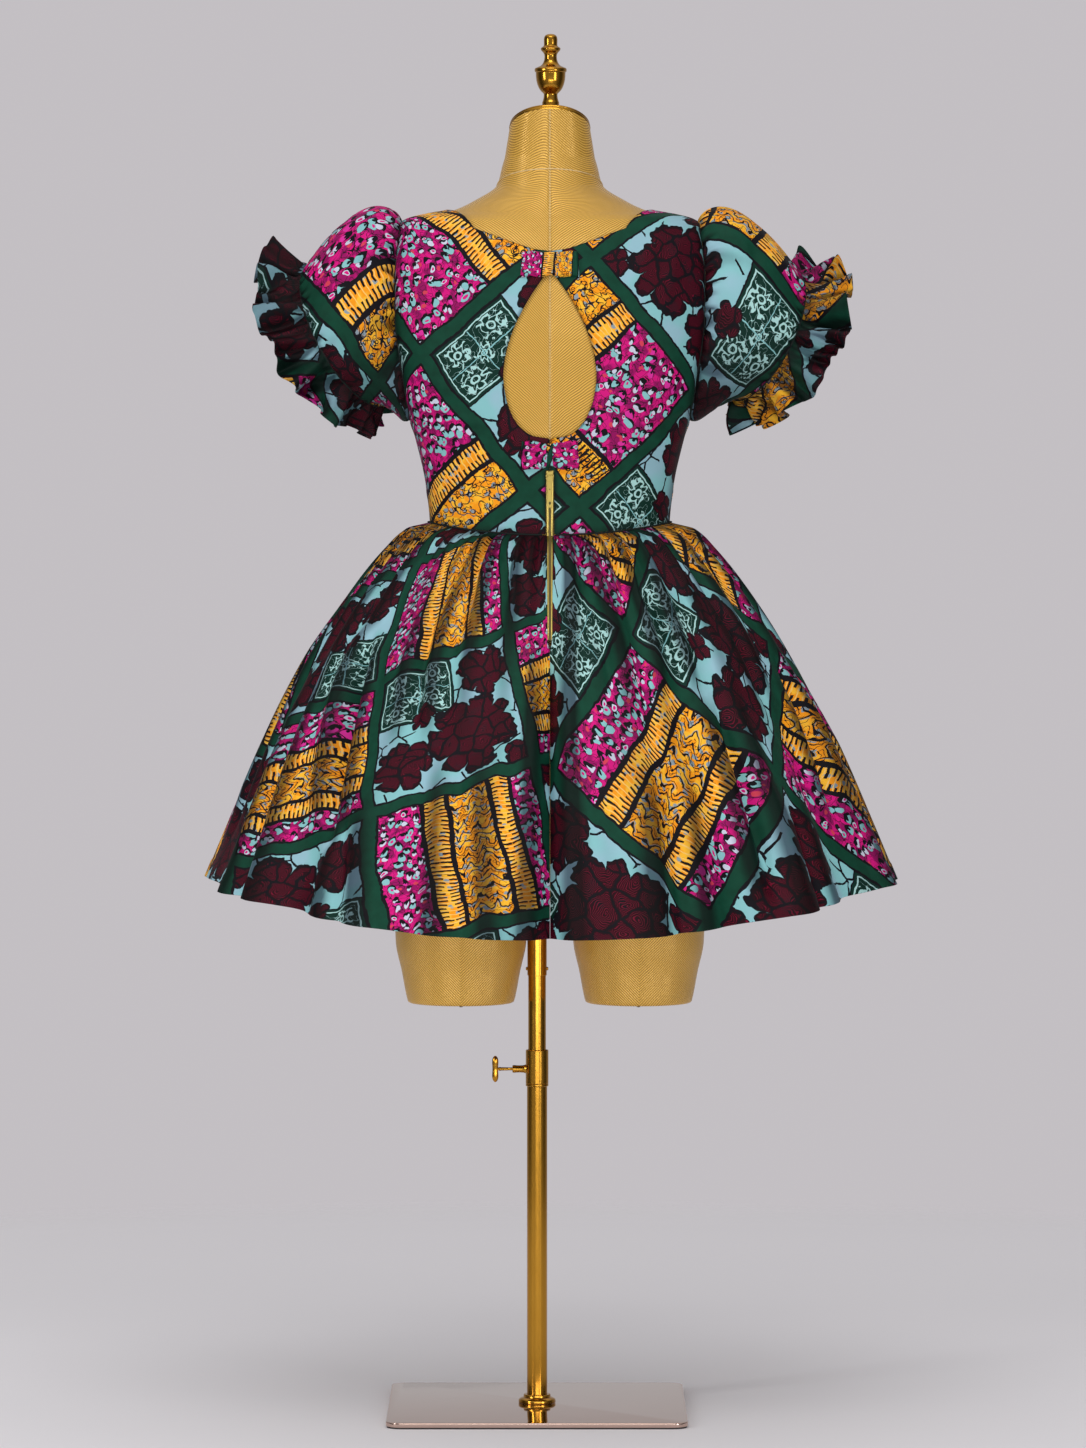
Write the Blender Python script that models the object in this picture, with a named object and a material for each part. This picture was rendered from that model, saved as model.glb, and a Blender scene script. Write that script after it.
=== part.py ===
"""Ankara wax print dress on a gold dress form and stand.

Metres, +Z up. The origin is the middle of the base's underside, on the stand's tube.
The dress shows its back towards -Y and its front towards +Y. Left and right are the
wearer's, so left is at -X. The form stands a little to the right of the tube.
"""
import math

import bmesh
import bpy
import numpy as np

for old in list(bpy.data.objects):
    bpy.data.objects.remove(old, do_unlink=True)

# Cloth and seams
CLOTH = 0.0016
CLOTH_CLEAR = 0.0023
SEAM = 0.0002
MID = CLOTH_CLEAR + CLOTH / 2
TOUCH = 0.0003

# Dress form
FORM_X = 0.0150
WAIST_SIDE = 1.0520
WAIST_DIP = 0.0140
CROTCH = 0.6150
THIGH_X = 0.1050
NECK_TILT = 0.5500
NECK_TOP = 1.5130
NECK_RADIUS = 0.0475
FORM_SIDES = 32
THIGH_SIDES = 24

# Dress
ARM_BOTTOM = 1.1720
NECK_POINT = 0.1220
SHOULDER_POINT = 0.1720
SKIRT_COLUMNS = 128
GATHERS = 32
HEM_SIDE = 0.6310
HEM_BACK = 0.5820
ZIP_HALF = 0.0043
ZIP_SLOT = 0.0048
ZIP_TOP = 1.1125
ZIP_FOOT = 0.9170
SLEEVE_COLUMNS = 40
RUFFLE_COLUMNS = 56
RUFFLE_WAVES = 14
RUFFLE_CLOTH = 0.0012

# Stand
BASE_SIDE = 0.3520
BASE_CORNER = 0.0180
PAD_THICK = 0.0015
PLATE_THICK = 0.0055
TUBE_RADIUS = 0.0105
SLEEVE_RADIUS = 0.0120
BORE_RADIUS = 0.0112
TUBE_FOOT = 0.1200
TUBE_TOP = 0.6800
COLLAR_LOW = 0.3835
COLLAR_HIGH = 0.4270
COLLAR_RADIUS = 0.0135
SCREW_HEIGHT = 0.4040
ROUND = 24


def table(names, rows):
    """One array of numbers for each named column."""
    return dict(zip(names.split(), np.array(rows, float).T))


def smooth_curve(x, xs, ys):
    """Curve through the points (xs, ys) that never overshoots them: a cubic between each
    pair, whose slope at a point is the harmonic mean of the slopes beside it."""
    step = np.diff(xs)
    slope = np.diff(ys) / step
    rising = slope[1:] * slope[:-1] > 0
    total = np.where(rising, slope[1:] + slope[:-1], 1.0)
    tangent = np.concatenate(
        ([slope[0]], np.where(rising, 2 * slope[1:] * slope[:-1] / total, 0.0), [slope[-1]]))
    x = np.clip(x, xs[0], xs[-1])
    i = np.clip(np.searchsorted(xs, x, side="right") - 1, 0, len(xs) - 2)
    t = (x - xs[i]) / step[i]
    return (ys[i] * (1 + 2 * t) * (1 - t) ** 2 + tangent[i] * step[i] * t * (1 - t) ** 2
            + ys[i + 1] * t * t * (3 - 2 * t) + tangent[i + 1] * step[i] * t * t * (t - 1))


# The form's level sections. Each is a rounded oval: half its width, how far it reaches to
# the front and back of the tube, and its power (2 is an ellipse, more is squarer).
FORM = table("height half_width front back power", [
    (0.6150, 0.1560, 0.0600, 0.0620, 2.3),
    (0.6300, 0.1720, 0.0780, 0.0820, 2.3),
    (0.6600, 0.1820, 0.0900, 0.0970, 2.3),
    (0.7400, 0.1870, 0.1010, 0.1130, 2.3),
    (0.8400, 0.1860, 0.1080, 0.1190, 2.3),
    (0.9300, 0.1700, 0.1080, 0.1070, 2.3),
    (1.0000, 0.1460, 0.1020, 0.0880, 2.2),
    (1.0440, 0.1380, 0.0990, 0.0830, 2.2),
    (1.0900, 0.1420, 0.1030, 0.0850, 2.2),
    (1.1500, 0.1550, 0.1230, 0.0920, 2.3),
    (1.1730, 0.1620, 0.1310, 0.0950, 2.4),
    (1.2100, 0.1750, 0.1370, 0.0980, 2.4),
    (1.2700, 0.1890, 0.1280, 0.1020, 2.4),
    (1.3300, 0.1940, 0.1040, 0.1000, 2.4),
    (1.3700, 0.1900, 0.0860, 0.0900, 2.4),
    (1.3950, 0.1810, 0.0740, 0.0810, 2.3),
    (1.4050, 0.1680, 0.0680, 0.0760, 2.3),
    (1.4100, 0.1500, 0.0650, 0.0740, 2.2),
    (1.4155, 0.1210, 0.0630, 0.0710, 2.2),
    (1.4300, 0.0880, 0.0610, 0.0660, 2.1),
    (1.4480, 0.0620, 0.0590, 0.0600, 2.0),
    (1.4700, 0.0560, 0.0540, 0.0500, 2.0),
    (1.4800, 0.0530, 0.0500, 0.0460, 2.0),
])


def form_section(z):
    """Half width, front reach, back reach and power of the form at height z."""
    return [smooth_curve(z, FORM["height"], FORM[name])
            for name in ("half_width", "front", "back", "power")]


def form_depth(x, z, side):
    """How far the form reaches to its front (side 1) or back (side -1), x from its middle."""
    width, front, back, power = form_section(z)
    reach = front if side > 0 else back
    return side * reach * (1 - np.clip(np.abs(x) / width, 0, 1) ** power) ** (1 / power)


def form_level(x, y, z, side):
    """The form's level function, one on its surface: |x/width|^power + |y/reach|^power."""
    width, front, back, power = form_section(z)
    reach = front if side > 0 else back
    return np.abs(x / width) ** power + np.abs(y / reach) ** power


def off_form(x, z, side, gap):
    """Points a gap off the form's surface, along its normal: the level function's gradient,
    from differences over a small step."""
    x, z = np.broadcast_arrays(x, z)
    y = form_depth(x, z, side)
    d = 1e-5
    slope = np.stack([form_level(x + d, y, z, side) - form_level(x - d, y, z, side),
                      form_level(x, y + d, z, side) - form_level(x, y - d, z, side),
                      form_level(x, y, z + d, side) - form_level(x, y, z - d, side)], axis=-1)
    normal = slope / np.linalg.norm(slope, axis=-1, keepdims=True)
    return np.stack([x + FORM_X, y, z], axis=-1) + normal * np.asarray(gap)[..., None]


def ridge(x):
    """Height of the shoulder line at distance x from the middle."""
    top = FORM["height"] >= 1.33
    return smooth_curve(-np.abs(x), -FORM["half_width"][top], FORM["height"][top])


def material(name, colour, roughness, metallic):
    made = bpy.data.materials.new(name)
    made.use_nodes = True
    shader = made.node_tree.nodes["Principled BSDF"]
    shader.inputs["Base Color"].default_value = (*colour, 1.0)
    shader.inputs["Roughness"].default_value = roughness
    shader.inputs["Metallic"].default_value = metallic
    made.diffuse_color = (*colour, 1.0)
    return made


def solid(name, verts, faces, finish):
    """One closed object with its faces turned outwards."""
    mesh = bpy.data.meshes.new(name)
    mesh.from_pydata([tuple(v) for v in verts], [], faces)
    work = bmesh.new()
    work.from_mesh(mesh)
    bmesh.ops.recalc_face_normals(work, faces=work.faces)
    if work.calc_volume(signed=True) < 0:
        bmesh.ops.reverse_faces(work, faces=work.faces)
    work.to_mesh(mesh)
    work.free()
    mesh.materials.append(finish)
    mesh.shade_smooth()
    mesh.set_sharp_from_angle(angle=math.radians(40))
    made = bpy.data.objects.new(name, mesh)
    bpy.context.collection.objects.link(made)
    return made


def wall(name, outer, inner, finish, closed=False):
    """Closed cloth wall between two grids of points, with an edge all round. A closed wall
    joins its last column to its first."""
    rows, columns = outer.shape[:2]
    verts = np.concatenate([outer.reshape(-1, 3), inner.reshape(-1, 3)])
    back = rows * columns

    def at(i, j):
        return i * columns + j % columns

    spans = columns if closed else columns - 1
    faces = []
    for i in range(rows - 1):
        for j in range(spans):
            quad = (at(i, j), at(i, j + 1), at(i + 1, j + 1), at(i + 1, j))
            faces.append(quad)
            faces.append(tuple(back + v for v in reversed(quad)))
    for j in range(spans):
        for i, turn in ((0, 1), (rows - 1, -1)):
            faces.append((at(i, j), back + at(i, j), back + at(i, j + 1), at(i, j + 1))[::turn])
    if not closed:
        for i in range(rows - 1):
            for j, turn in ((0, -1), (columns - 1, 1)):
                faces.append((at(i, j), back + at(i, j), back + at(i + 1, j), at(i + 1, j))[::turn])
    return solid(name, verts, faces, finish)


def grid_normals(points, closed):
    """Unit normals of a grid, from the differences along its rows and columns."""
    down = np.gradient(points, axis=0)
    if closed:
        across = (np.roll(points, -1, axis=1) - np.roll(points, 1, axis=1)) / 2
    else:
        across = np.gradient(points, axis=1)
    normal = np.cross(down, across)
    return normal / np.linalg.norm(normal, axis=2, keepdims=True)


def loft(name, rings, finish):
    """Closed solid through rings of points, with a flat face on its first and last ring."""
    rings = np.asarray(rings)
    rows, columns = rings.shape[:2]
    faces = [tuple(range(columns)), tuple((rows - 1) * columns + j for j in range(columns))]
    for i in range(rows - 1):
        for j in range(columns):
            k = (j + 1) % columns
            faces.append((i * columns + j, i * columns + k, (i + 1) * columns + k,
                          (i + 1) * columns + j))
    return solid(name, rings.reshape(-1, 3), faces, finish)


def turned(name, profile, finish, centre=(0.0, 0.0), sides=ROUND):
    """Solid turned about an upright axis. The profile is radius and height, foot to top."""
    angle = np.arange(sides) * 2 * np.pi / sides
    rings = [np.stack([centre[0] + r * np.cos(angle), centre[1] + r * np.sin(angle),
                       np.full(sides, z)], axis=-1) for r, z in profile]
    return loft(name, rings, finish)


def lying(name, radius, start, end, y, z, finish, sides=16):
    """Round bar along X."""
    angle = np.arange(sides) * 2 * np.pi / sides
    rings = [np.stack([np.full(sides, x), y + radius * np.cos(angle),
                       z + radius * np.sin(angle)], axis=-1) for x in (start, end)]
    return loft(name, rings, finish)


def block(name, low, high, finish):
    """Box between two corners."""
    rings = [[(low[0], low[1], z), (high[0], low[1], z), (high[0], high[1], z),
              (low[0], high[1], z)] for z in (low[2], high[2])]
    return loft(name, rings, finish)


def combine(target, tool, operation):
    """Apply an exact Boolean to the target, then remove the tool."""
    step = target.modifiers.new(operation, "BOOLEAN")
    step.operation = operation
    step.solver = "EXACT"
    step.object = tool
    bpy.context.view_layer.update()
    graph = bpy.context.evaluated_depsgraph_get()
    mesh = bpy.data.meshes.new_from_object(target.evaluated_get(graph))
    target.modifiers.clear()
    target.data = mesh
    mesh.name = target.name
    bpy.data.objects.remove(tool, do_unlink=True)
    mesh.shade_smooth()
    mesh.set_sharp_from_angle(angle=math.radians(40))


COVER = material("gold_twill_cover", (0.604, 0.319, 0.060), 0.55, 0.25)
BRASS = material("turned_brass", (0.448, 0.188, 0.015), 0.28, 1.0)
BRONZE = material("polished_bronze", (0.330, 0.262, 0.230), 0.12, 1.0)
RUBBER = material("black_rubber", (0.012, 0.012, 0.012), 0.85, 0.0)
PRINT = material("wax_print_cotton", (0.030, 0.160, 0.130), 0.75, 0.0)
GOLD_ZIP = material("gold_zip", (0.500, 0.380, 0.110), 0.30, 1.0)


# Base: a rubber sheet under a polished plate with round corners, and a ring where the tube
# is screwed down.
def rounded_square(half, corner, z, steps=6):
    """Ring of a square with round corners: a quarter circle at each corner in turn."""
    turn = np.linspace(0, np.pi / 2, steps)
    ring = []
    for quarter in range(4):
        angle = turn + quarter * np.pi / 2
        middle = quarter * np.pi / 2 + np.pi / 4
        cx = (half - corner) * math.sqrt(2) * math.cos(middle)
        cy = (half - corner) * math.sqrt(2) * math.sin(middle)
        ring += [(cx + corner * math.cos(a), cy + corner * math.sin(a), z) for a in angle]
    return ring


plate_low = PAD_THICK + TOUCH
plate_top = plate_low + PLATE_THICK
half = BASE_SIDE / 2
loft("base_pad", [rounded_square(half - 0.001, BASE_CORNER, z) for z in (0.0, PAD_THICK)], RUBBER)
loft("base_plate", [rounded_square(half, BASE_CORNER, plate_low),
                    rounded_square(half, BASE_CORNER, plate_top - 0.0012),
                    rounded_square(half - 0.0012, BASE_CORNER, plate_top)], BRONZE)
ring_low = plate_top + TOUCH
flange = turned("flange_ring", [(0.0220, ring_low), (0.0220, ring_low + 0.0035),
                                (0.0200, ring_low + 0.0055), (0.0160, ring_low + 0.0065),
                                (0.0160, ring_low + 0.0100)], BRASS)
combine(flange, turned("flange_bore", [(SLEEVE_RADIUS + TOUCH, ring_low - 0.01),
                                       (SLEEVE_RADIUS + TOUCH, ring_low + 0.02)], BRASS),
        "DIFFERENCE")

# Lower tube, open at the top, that the upper tube slides in.
lower = turned("lower_tube", [(SLEEVE_RADIUS, ring_low), (SLEEVE_RADIUS, COLLAR_LOW - TOUCH)],
               BRASS)
combine(lower, turned("lower_bore", [(BORE_RADIUS, 0.0550), (BORE_RADIUS, COLLAR_LOW + 0.02)],
                      BRASS), "DIFFERENCE")

# Clamp collar with a boss to the left, bored for the tube and for the screw.
collar = turned("clamp_collar", [(COLLAR_RADIUS - 0.0008, COLLAR_LOW),
                                 (COLLAR_RADIUS, COLLAR_LOW + 0.0008),
                                 (COLLAR_RADIUS, COLLAR_HIGH - 0.0008),
                                 (COLLAR_RADIUS - 0.0008, COLLAR_HIGH)], BRASS)
combine(collar, lying("boss", 0.0047, -0.0290, -0.0080, 0.0, SCREW_HEIGHT, BRASS), "UNION")
combine(collar, turned("collar_bore", [(BORE_RADIUS, COLLAR_LOW - 0.01),
                                       (BORE_RADIUS, COLLAR_HIGH + 0.01)], BRASS), "DIFFERENCE")
combine(collar, lying("screw_bore", 0.0025, -0.0400, -0.0170, 0.0, SCREW_HEIGHT, BRASS),
        "DIFFERENCE")

# Clamp screw: a thin stem in the boss and a bar across its end to turn it by.
screw = lying("clamp_screw", 0.0021, -0.0480, -0.0180, 0.0, SCREW_HEIGHT, BRASS, 12)
combine(screw, turned("bar", [(0.0025, SCREW_HEIGHT - 0.0155), (0.0040, SCREW_HEIGHT - 0.0140),
                              (0.0034, SCREW_HEIGHT), (0.0040, SCREW_HEIGHT + 0.0140),
                              (0.0025, SCREW_HEIGHT + 0.0155)], BRASS, (-0.0495, 0.0), 12),
        "UNION")

# Upper tube, with the small cross screw below the form.
tube = turned("upper_tube", [(TUBE_RADIUS, TUBE_FOOT), (TUBE_RADIUS, TUBE_TOP - TOUCH)], BRASS)
combine(tube, lying("cross_screw", 0.0020, -0.0128, 0.0128, 0.0, 0.5170, BRASS, 12), "UNION")


# Form: the torso, two thigh stubs joined to it, and a socket for the tube.
def oval(sides, power):
    """Unit oval: the cosine and sine of each angle, both raised to 2/power with their sign."""
    angle = np.arange(sides) * 2 * np.pi / sides
    c = np.sign(np.cos(angle)) * np.abs(np.cos(angle)) ** (2 / power)
    s = np.sign(np.sin(angle)) * np.abs(np.sin(angle)) ** (2 / power)
    return c, s


def torso_ring(z):
    width, front, back, power = form_section(z)
    c, s = oval(FORM_SIDES, power)
    return np.stack([FORM_X + width * c, np.where(s > 0, front, back) * s,
                     np.full(FORM_SIDES, z)], axis=-1)


def neck_ring():
    """Top of the neck, cut by a plane that falls towards the front."""
    c, s = oval(FORM_SIDES, 2.0)
    y = NECK_RADIUS * s / math.hypot(1, NECK_TILT)
    return np.stack([FORM_X + NECK_RADIUS * c, y, NECK_TOP - NECK_TILT * y], axis=-1)


torso_rings = [torso_ring(z) for z in FORM["height"]]
torso = loft("form_torso", torso_rings + [neck_ring()], COVER)

THIGH = table("height half_width front back", [
    (0.4830, 0.0610, 0.0600, 0.0600),
    (0.4850, 0.0630, 0.0620, 0.0620),
    (0.5200, 0.0700, 0.0690, 0.0690),
    (0.5550, 0.0772, 0.0760, 0.0780),
    (0.6000, 0.0785, 0.0830, 0.0870),
    (0.6700, 0.0700, 0.0780, 0.0830),
])
for side in (-1, 1):
    c, s = oval(THIGH_SIDES, 2.0)
    rings = [np.stack([FORM_X + side * THIGH_X + w * c, np.where(s > 0, f, b) * s,
                       np.full(THIGH_SIDES, z)], axis=-1)
             for z, w, f, b in zip(*THIGH.values())]
    combine(torso, loft("thigh", rings, COVER), "UNION")
combine(torso, turned("socket", [(BORE_RADIUS, CROTCH - 0.02), (BORE_RADIUS, TUBE_TOP)], COVER),
        "DIFFERENCE")

# Neck plate on the slanted neck, and the finial that stands upright on it.
c, s = oval(ROUND, 2.0)
slant = math.hypot(1, NECK_TILT)


def plate_ring(radius, lift):
    """Ring of the neck plate: a circle in the slanted plane, lifted square to it."""
    return np.stack([FORM_X + radius * c, radius * s / slant + lift * NECK_TILT / slant,
                     NECK_TOP - NECK_TILT * radius * s / slant + lift / slant], axis=-1)


PLATE_HIGH = 0.0070
loft("neck_cap", [plate_ring(NECK_RADIUS, TOUCH), plate_ring(NECK_RADIUS, 0.0050),
                  plate_ring(NECK_RADIUS - 0.0020, PLATE_HIGH)], BRASS)
FINIAL = table("radius height", [
    (0.0106, 1.5530), (0.0128, 1.5600), (0.0165, 1.5700), (0.0189, 1.5790), (0.0189, 1.5830),
    (0.0110, 1.5860), (0.0075, 1.5910), (0.0065, 1.5950), (0.0065, 1.6000), (0.0118, 1.6020),
    (0.0118, 1.6120), (0.0062, 1.6130), (0.0072, 1.6170), (0.0066, 1.6225), (0.0035, 1.6255),
])
finial_x = FORM_X + 0.0010
c, s = oval(18, 2.0)
foot_rise = (PLATE_HIGH + TOUCH) * slant
foot = np.stack([finial_x + 0.0106 * c, 0.0106 * s,
                 NECK_TOP + foot_rise - NECK_TILT * 0.0106 * s], axis=-1)
loft("neck_finial", [foot] + [np.stack([finial_x + r * c, r * s, np.full(18, z)], axis=-1)
                              for r, z in zip(*FINIAL.values())], BRASS)

# Bodice: panels that lie just off the form. Across a row, points are a distance x from the
# middle, closer together towards the side seam. The armhole's edge is a distance from the
# middle too, and the backs' inner edge is the slot for the zip, the keyhole and the neck.
ARMHOLE = table("height edge", [
    (1.1720, 0.1617), (1.1800, 0.1620), (1.1970, 0.1655), (1.2220, 0.1690), (1.2530, 0.1740),
    (1.2890, 0.1780), (1.3360, 0.1785), (1.3700, 0.1760), (1.3940, 0.1730), (1.4100, 0.1720),
])
BACK_ROWS = table("height inner", [
    (1.0520, ZIP_SLOT), (1.0800, ZIP_SLOT), (1.1128, ZIP_SLOT), (1.1132, SEAM), (1.1490, SEAM),
    (1.1530, 0.0190), (1.1600, 0.0310), (1.1720, 0.0410), (1.1800, 0.0450), (1.1970, 0.0507),
    (1.2220, 0.0540), (1.2430, 0.0520), (1.2730, 0.0437), (1.3040, 0.0290), (1.3250, 0.0160),
    (1.3380, 0.0060), (1.3420, SEAM), (1.3660, SEAM), (1.3695, 0.0180), (1.3735, 0.0310),
    (1.3790, 0.0470), (1.3860, 0.0660), (1.3940, 0.0880),
])
STRAP_ROWS = table("rise inner edge", [
    (0.20, 0.0970, 0.1728), (0.45, 0.1080, 0.1725), (0.75, 0.1180, 0.1722),
    (1.00, NECK_POINT, SHOULDER_POINT),
])
FRONT_TOP = table("across height", [
    (0.0000, 1.3350), (0.0350, 1.3367), (0.0650, 1.3440), (0.0880, 1.3570), (0.1040, 1.3730),
    (0.1140, 1.3900), (0.1190, 1.4030), (0.1212, 1.4110), (NECK_POINT, 0), (0.1350, 0),
    (0.1530, 0), (SHOULDER_POINT, 0),
])
FRONT_HEIGHTS = [1.0520, 1.0800, 1.1128, 1.1490, 1.1720, 1.1800, 1.1970, 1.2220, 1.2430,
                 1.2730, 1.3040, 1.3380, 1.3660, 1.3860, 1.3940]
STRAP_BASE = 1.3940


def armhole(z):
    """Distance from the middle to the panel's outer edge: the side seam, then the armhole."""
    side = form_section(z)[0]
    edge = smooth_curve(z, ARMHOLE["height"], ARMHOLE["edge"])
    return np.where(z > ARM_BOTTOM, np.minimum(edge, side), side)


def waist_line(x):
    """Height of the waist seam, lowest at the middle of the back and front."""
    return WAIST_SIDE - WAIST_DIP * (1 - np.clip(x / form_section(WAIST_SIDE)[0], -1, 1) ** 2)


def back_grid(columns=8):
    """Distances and heights of one back panel's points, from its inner to its outer edge."""
    u = np.sin(np.linspace(0, np.pi / 2, columns + 1))
    xs, zs = [], []
    for z, inner in zip(*BACK_ROWS.values()):
        x = inner + (armhole(z) - inner) * u
        xs.append(x)
        zs.append(waist_line(x) if z == WAIST_SIDE else np.full(columns + 1, z))
    for rise, inner, edge in zip(*STRAP_ROWS.values()):
        x = inner + (edge - inner) * u
        xs.append(x)
        zs.append(STRAP_BASE + (ridge(x) - STRAP_BASE) * (1 - (1 - rise) ** 2))
    return np.array(xs), np.array(zs)


def front_grid():
    """The front's points, side to side. Each column climbs from the waist to its own top: a
    point of the scooped neck or, on the straps, of the shoulder line."""
    across, height = FRONT_TOP["across"], FRONT_TOP["height"]
    height = np.where(across < NECK_POINT, height, ridge(across))
    spread = np.sin(np.linspace(0, np.pi / 2, len(across)))
    top_x = np.concatenate([-across[:0:-1], across])
    top = np.concatenate([height[:0:-1], height])
    low_u = np.concatenate([-spread[:0:-1], spread])
    waist = waist_line(low_u * form_section(WAIST_SIDE)[0])
    rim = float(ridge(SHOULDER_POINT))
    edge_rows = FRONT_HEIGHTS + [STRAP_BASE + (rim - STRAP_BASE) * (1 - (1 - r) ** 2)
                                 for r in STRAP_ROWS["rise"]]
    xs, zs = [], []
    for edge_z in edge_rows:
        share = (edge_z - WAIST_SIDE) / (rim - WAIST_SIDE)
        z = waist + (top - waist) * share
        u = low_u + (top_x / SHOULDER_POINT - low_u) * share ** 2
        xs.append(u * armhole(edge_z) if edge_z < rim else top_x)
        zs.append(z)
    return np.array(xs), np.array(zs)


def part_at_seam(points, side):
    """Keep a panel's points a seam gap away from the plane between front and back."""
    y = points[..., 1]
    points[..., 1] = np.where(y * side < SEAM, side * SEAM, y)
    return points


def panel(name, x, z, side):
    """A bodice panel: the wall between the grid's points at two distances off the form."""
    outer = part_at_seam(off_form(x, z, side, CLOTH_CLEAR + CLOTH), side)
    inner = part_at_seam(off_form(x, z, side, CLOTH_CLEAR), side)
    wall(name, outer, inner, PRINT)
    return part_at_seam(off_form(x, z, side, MID), side)


back_x, back_z = back_grid()
front_x, front_z = front_grid()
back_mid = {-1: panel("bodice_back_left", -back_x, back_z, -1),
            1: panel("bodice_back_right", back_x, back_z, -1)}
front_mid = panel("bodice_front", front_x, front_z, 1)

# Tabs: short folded bands across the backs, pinched a little at the middle.
def tab(name, low, high, half_width):
    """A band on the backs: its underside follows them, its face swells away from its edges."""
    u = np.linspace(-1, 1, 13)[None, :]
    v = np.linspace(-1, 1, 6)[:, None]
    pinch = 1 - 0.14 * np.exp(-(u / 0.30) ** 2)
    x = half_width * u + 0 * v
    z = (low + high) / 2 + (high - low) / 2 * v * pinch
    under = CLOTH_CLEAR + CLOTH + TOUCH + 0.0001
    swell = 0.0012 + 0.0042 * (1 - u ** 4) * (1 - v ** 4) * (1 - 0.35 * np.exp(-(u / 0.30) ** 2))
    wall(name, off_form(x, z, -1, under + swell), off_form(x, z, -1, under + 0 * z), PRINT)


tab("tab_upper", 1.3380, 1.3660, 0.0330)
tab("tab_lower", 1.1145, 1.1470, 0.0330)

# Skirt: one bell, worked out all round and then cut at the side seams and the centre back.
# Its sections go from the waist (drop 0) to the hem (drop 1).
SKIRT = table("drop half_width front back power gather fold", [
    (0.000, 0.1425, 0.1035, 0.0875, 2.2, 0.0010, 0.00),
    (0.017, 0.1630, 0.1170, 0.1010, 2.2, 0.0026, 0.00),
    (0.070, 0.1880, 0.1420, 0.1250, 2.2, 0.0034, 0.04),
    (0.160, 0.2220, 0.1760, 0.1610, 2.1, 0.0028, 0.14),
    (0.300, 0.2640, 0.2200, 0.2090, 2.1, 0.0014, 0.34),
    (0.475, 0.3060, 0.2640, 0.2560, 2.0, 0.0003, 0.58),
    (0.650, 0.3410, 0.3010, 0.2950, 2.0, 0.0000, 0.78),
    (0.840, 0.3750, 0.3370, 0.3320, 2.0, 0.0000, 0.93),
    (1.000, 0.4030, 0.3660, 0.3610, 2.0, 0.0000, 1.00),
])
# Soft folds: where round the hem (0 is the right side seam, 90 the centre front), how far
# the cloth stands out or in at the hem, and half the fold's width.
FOLDS = table("angle depth width", [
    (-90, -0.0240, 4.5), (-74, 0.0100, 8.0), (-58, -0.0090, 6.0), (-44, 0.0120, 7.0),
    (-30, -0.0120, 5.5), (-14, 0.0080, 7.0), (8, -0.0100, 6.0), (24, 0.0110, 8.0),
    (44, -0.0120, 6.0), (61, 0.0090, 7.0), (82, -0.0100, 7.0), (99, 0.0110, 7.0),
    (118, -0.0130, 6.0), (137, 0.0100, 8.0), (158, -0.0090, 6.0), (173, 0.0080, 6.0),
    (192, -0.0080, 6.0), (206, 0.0110, 7.0), (222, -0.0150, 5.0), (236, 0.0100, 7.0),
    (253, 0.0080, 7.0),
])
SKIRT_ROWS = np.array([0.0, 0.017, 0.055, 0.13, 0.24, 0.39, 0.58, 0.79, 1.0])


def skirt_shape(angle, drop):
    """Middle surface of the skirt. A section is an oval pushed out or in by the gathers, a
    wave round it that dies away below the waist, and by the folds, which grow to the hem."""
    def read(name):
        return smooth_curve(drop, SKIRT["drop"], SKIRT[name])

    power = read("power")
    c = np.sign(np.cos(angle)) * np.abs(np.cos(angle)) ** (2 / power)
    s = np.sign(np.sin(angle)) * np.abs(np.sin(angle)) ** (2 / power)
    reach = np.where(np.sin(angle) > 0, read("front"), read("back"))
    push = read("gather") * np.cos(GATHERS * angle + 0.8 * np.sin(5 * angle) - np.pi / 2)
    for middle, depth, width in zip(*FOLDS.values()):
        away = (np.degrees(angle) - middle + 180) % 360 - 180
        push = push + depth * read("fold") * np.exp(-(away / width) ** 2)
    top = WAIST_SIDE - WAIST_DIP * np.sin(angle) ** 2 - 0.0016
    hem = HEM_SIDE + (HEM_BACK - HEM_SIDE) * np.sin(angle) ** 2
    return np.stack([FORM_X + (read("half_width") + push) * c, (reach + push) * s,
                     top + (hem - top) * drop], axis=-1)


angle, drop = np.meshgrid(np.arange(SKIRT_COLUMNS) * 2 * np.pi / SKIRT_COLUMNS, SKIRT_ROWS)
skirt_mid = skirt_shape(angle, drop)
skirt_out = -grid_normals(skirt_mid, True)


def skirt_panel(name, first, last, edges):
    """Cut the skirt from one column to another. Each edge is a column's end, an axis and the
    place on that axis where the cloth stops."""
    take = np.arange(first, last + 1) % SKIRT_COLUMNS
    outer = skirt_mid[:, take] + skirt_out[:, take] * CLOTH / 2
    inner = skirt_mid[:, take] - skirt_out[:, take] * CLOTH / 2
    for column, axis, place in edges:
        outer[:, column, axis] = place
        inner[:, column, axis] = place
    wall(name, outer, inner, PRINT)


quarter = SKIRT_COLUMNS // 4
centre_edge = np.where(skirt_mid[:, 3 * quarter, 2] > ZIP_FOOT - 0.01, ZIP_SLOT, SEAM)
skirt_panel("skirt_front", 0, 2 * quarter, [(0, 1, SEAM), (-1, 1, SEAM)])
skirt_panel("skirt_back_left", 2 * quarter, 3 * quarter,
            [(0, 1, -SEAM), (-1, 0, FORM_X - centre_edge)])
skirt_panel("skirt_back_right", 3 * quarter, 4 * quarter,
            [(0, 0, FORM_X + centre_edge), (-1, 1, -SEAM)])

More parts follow.
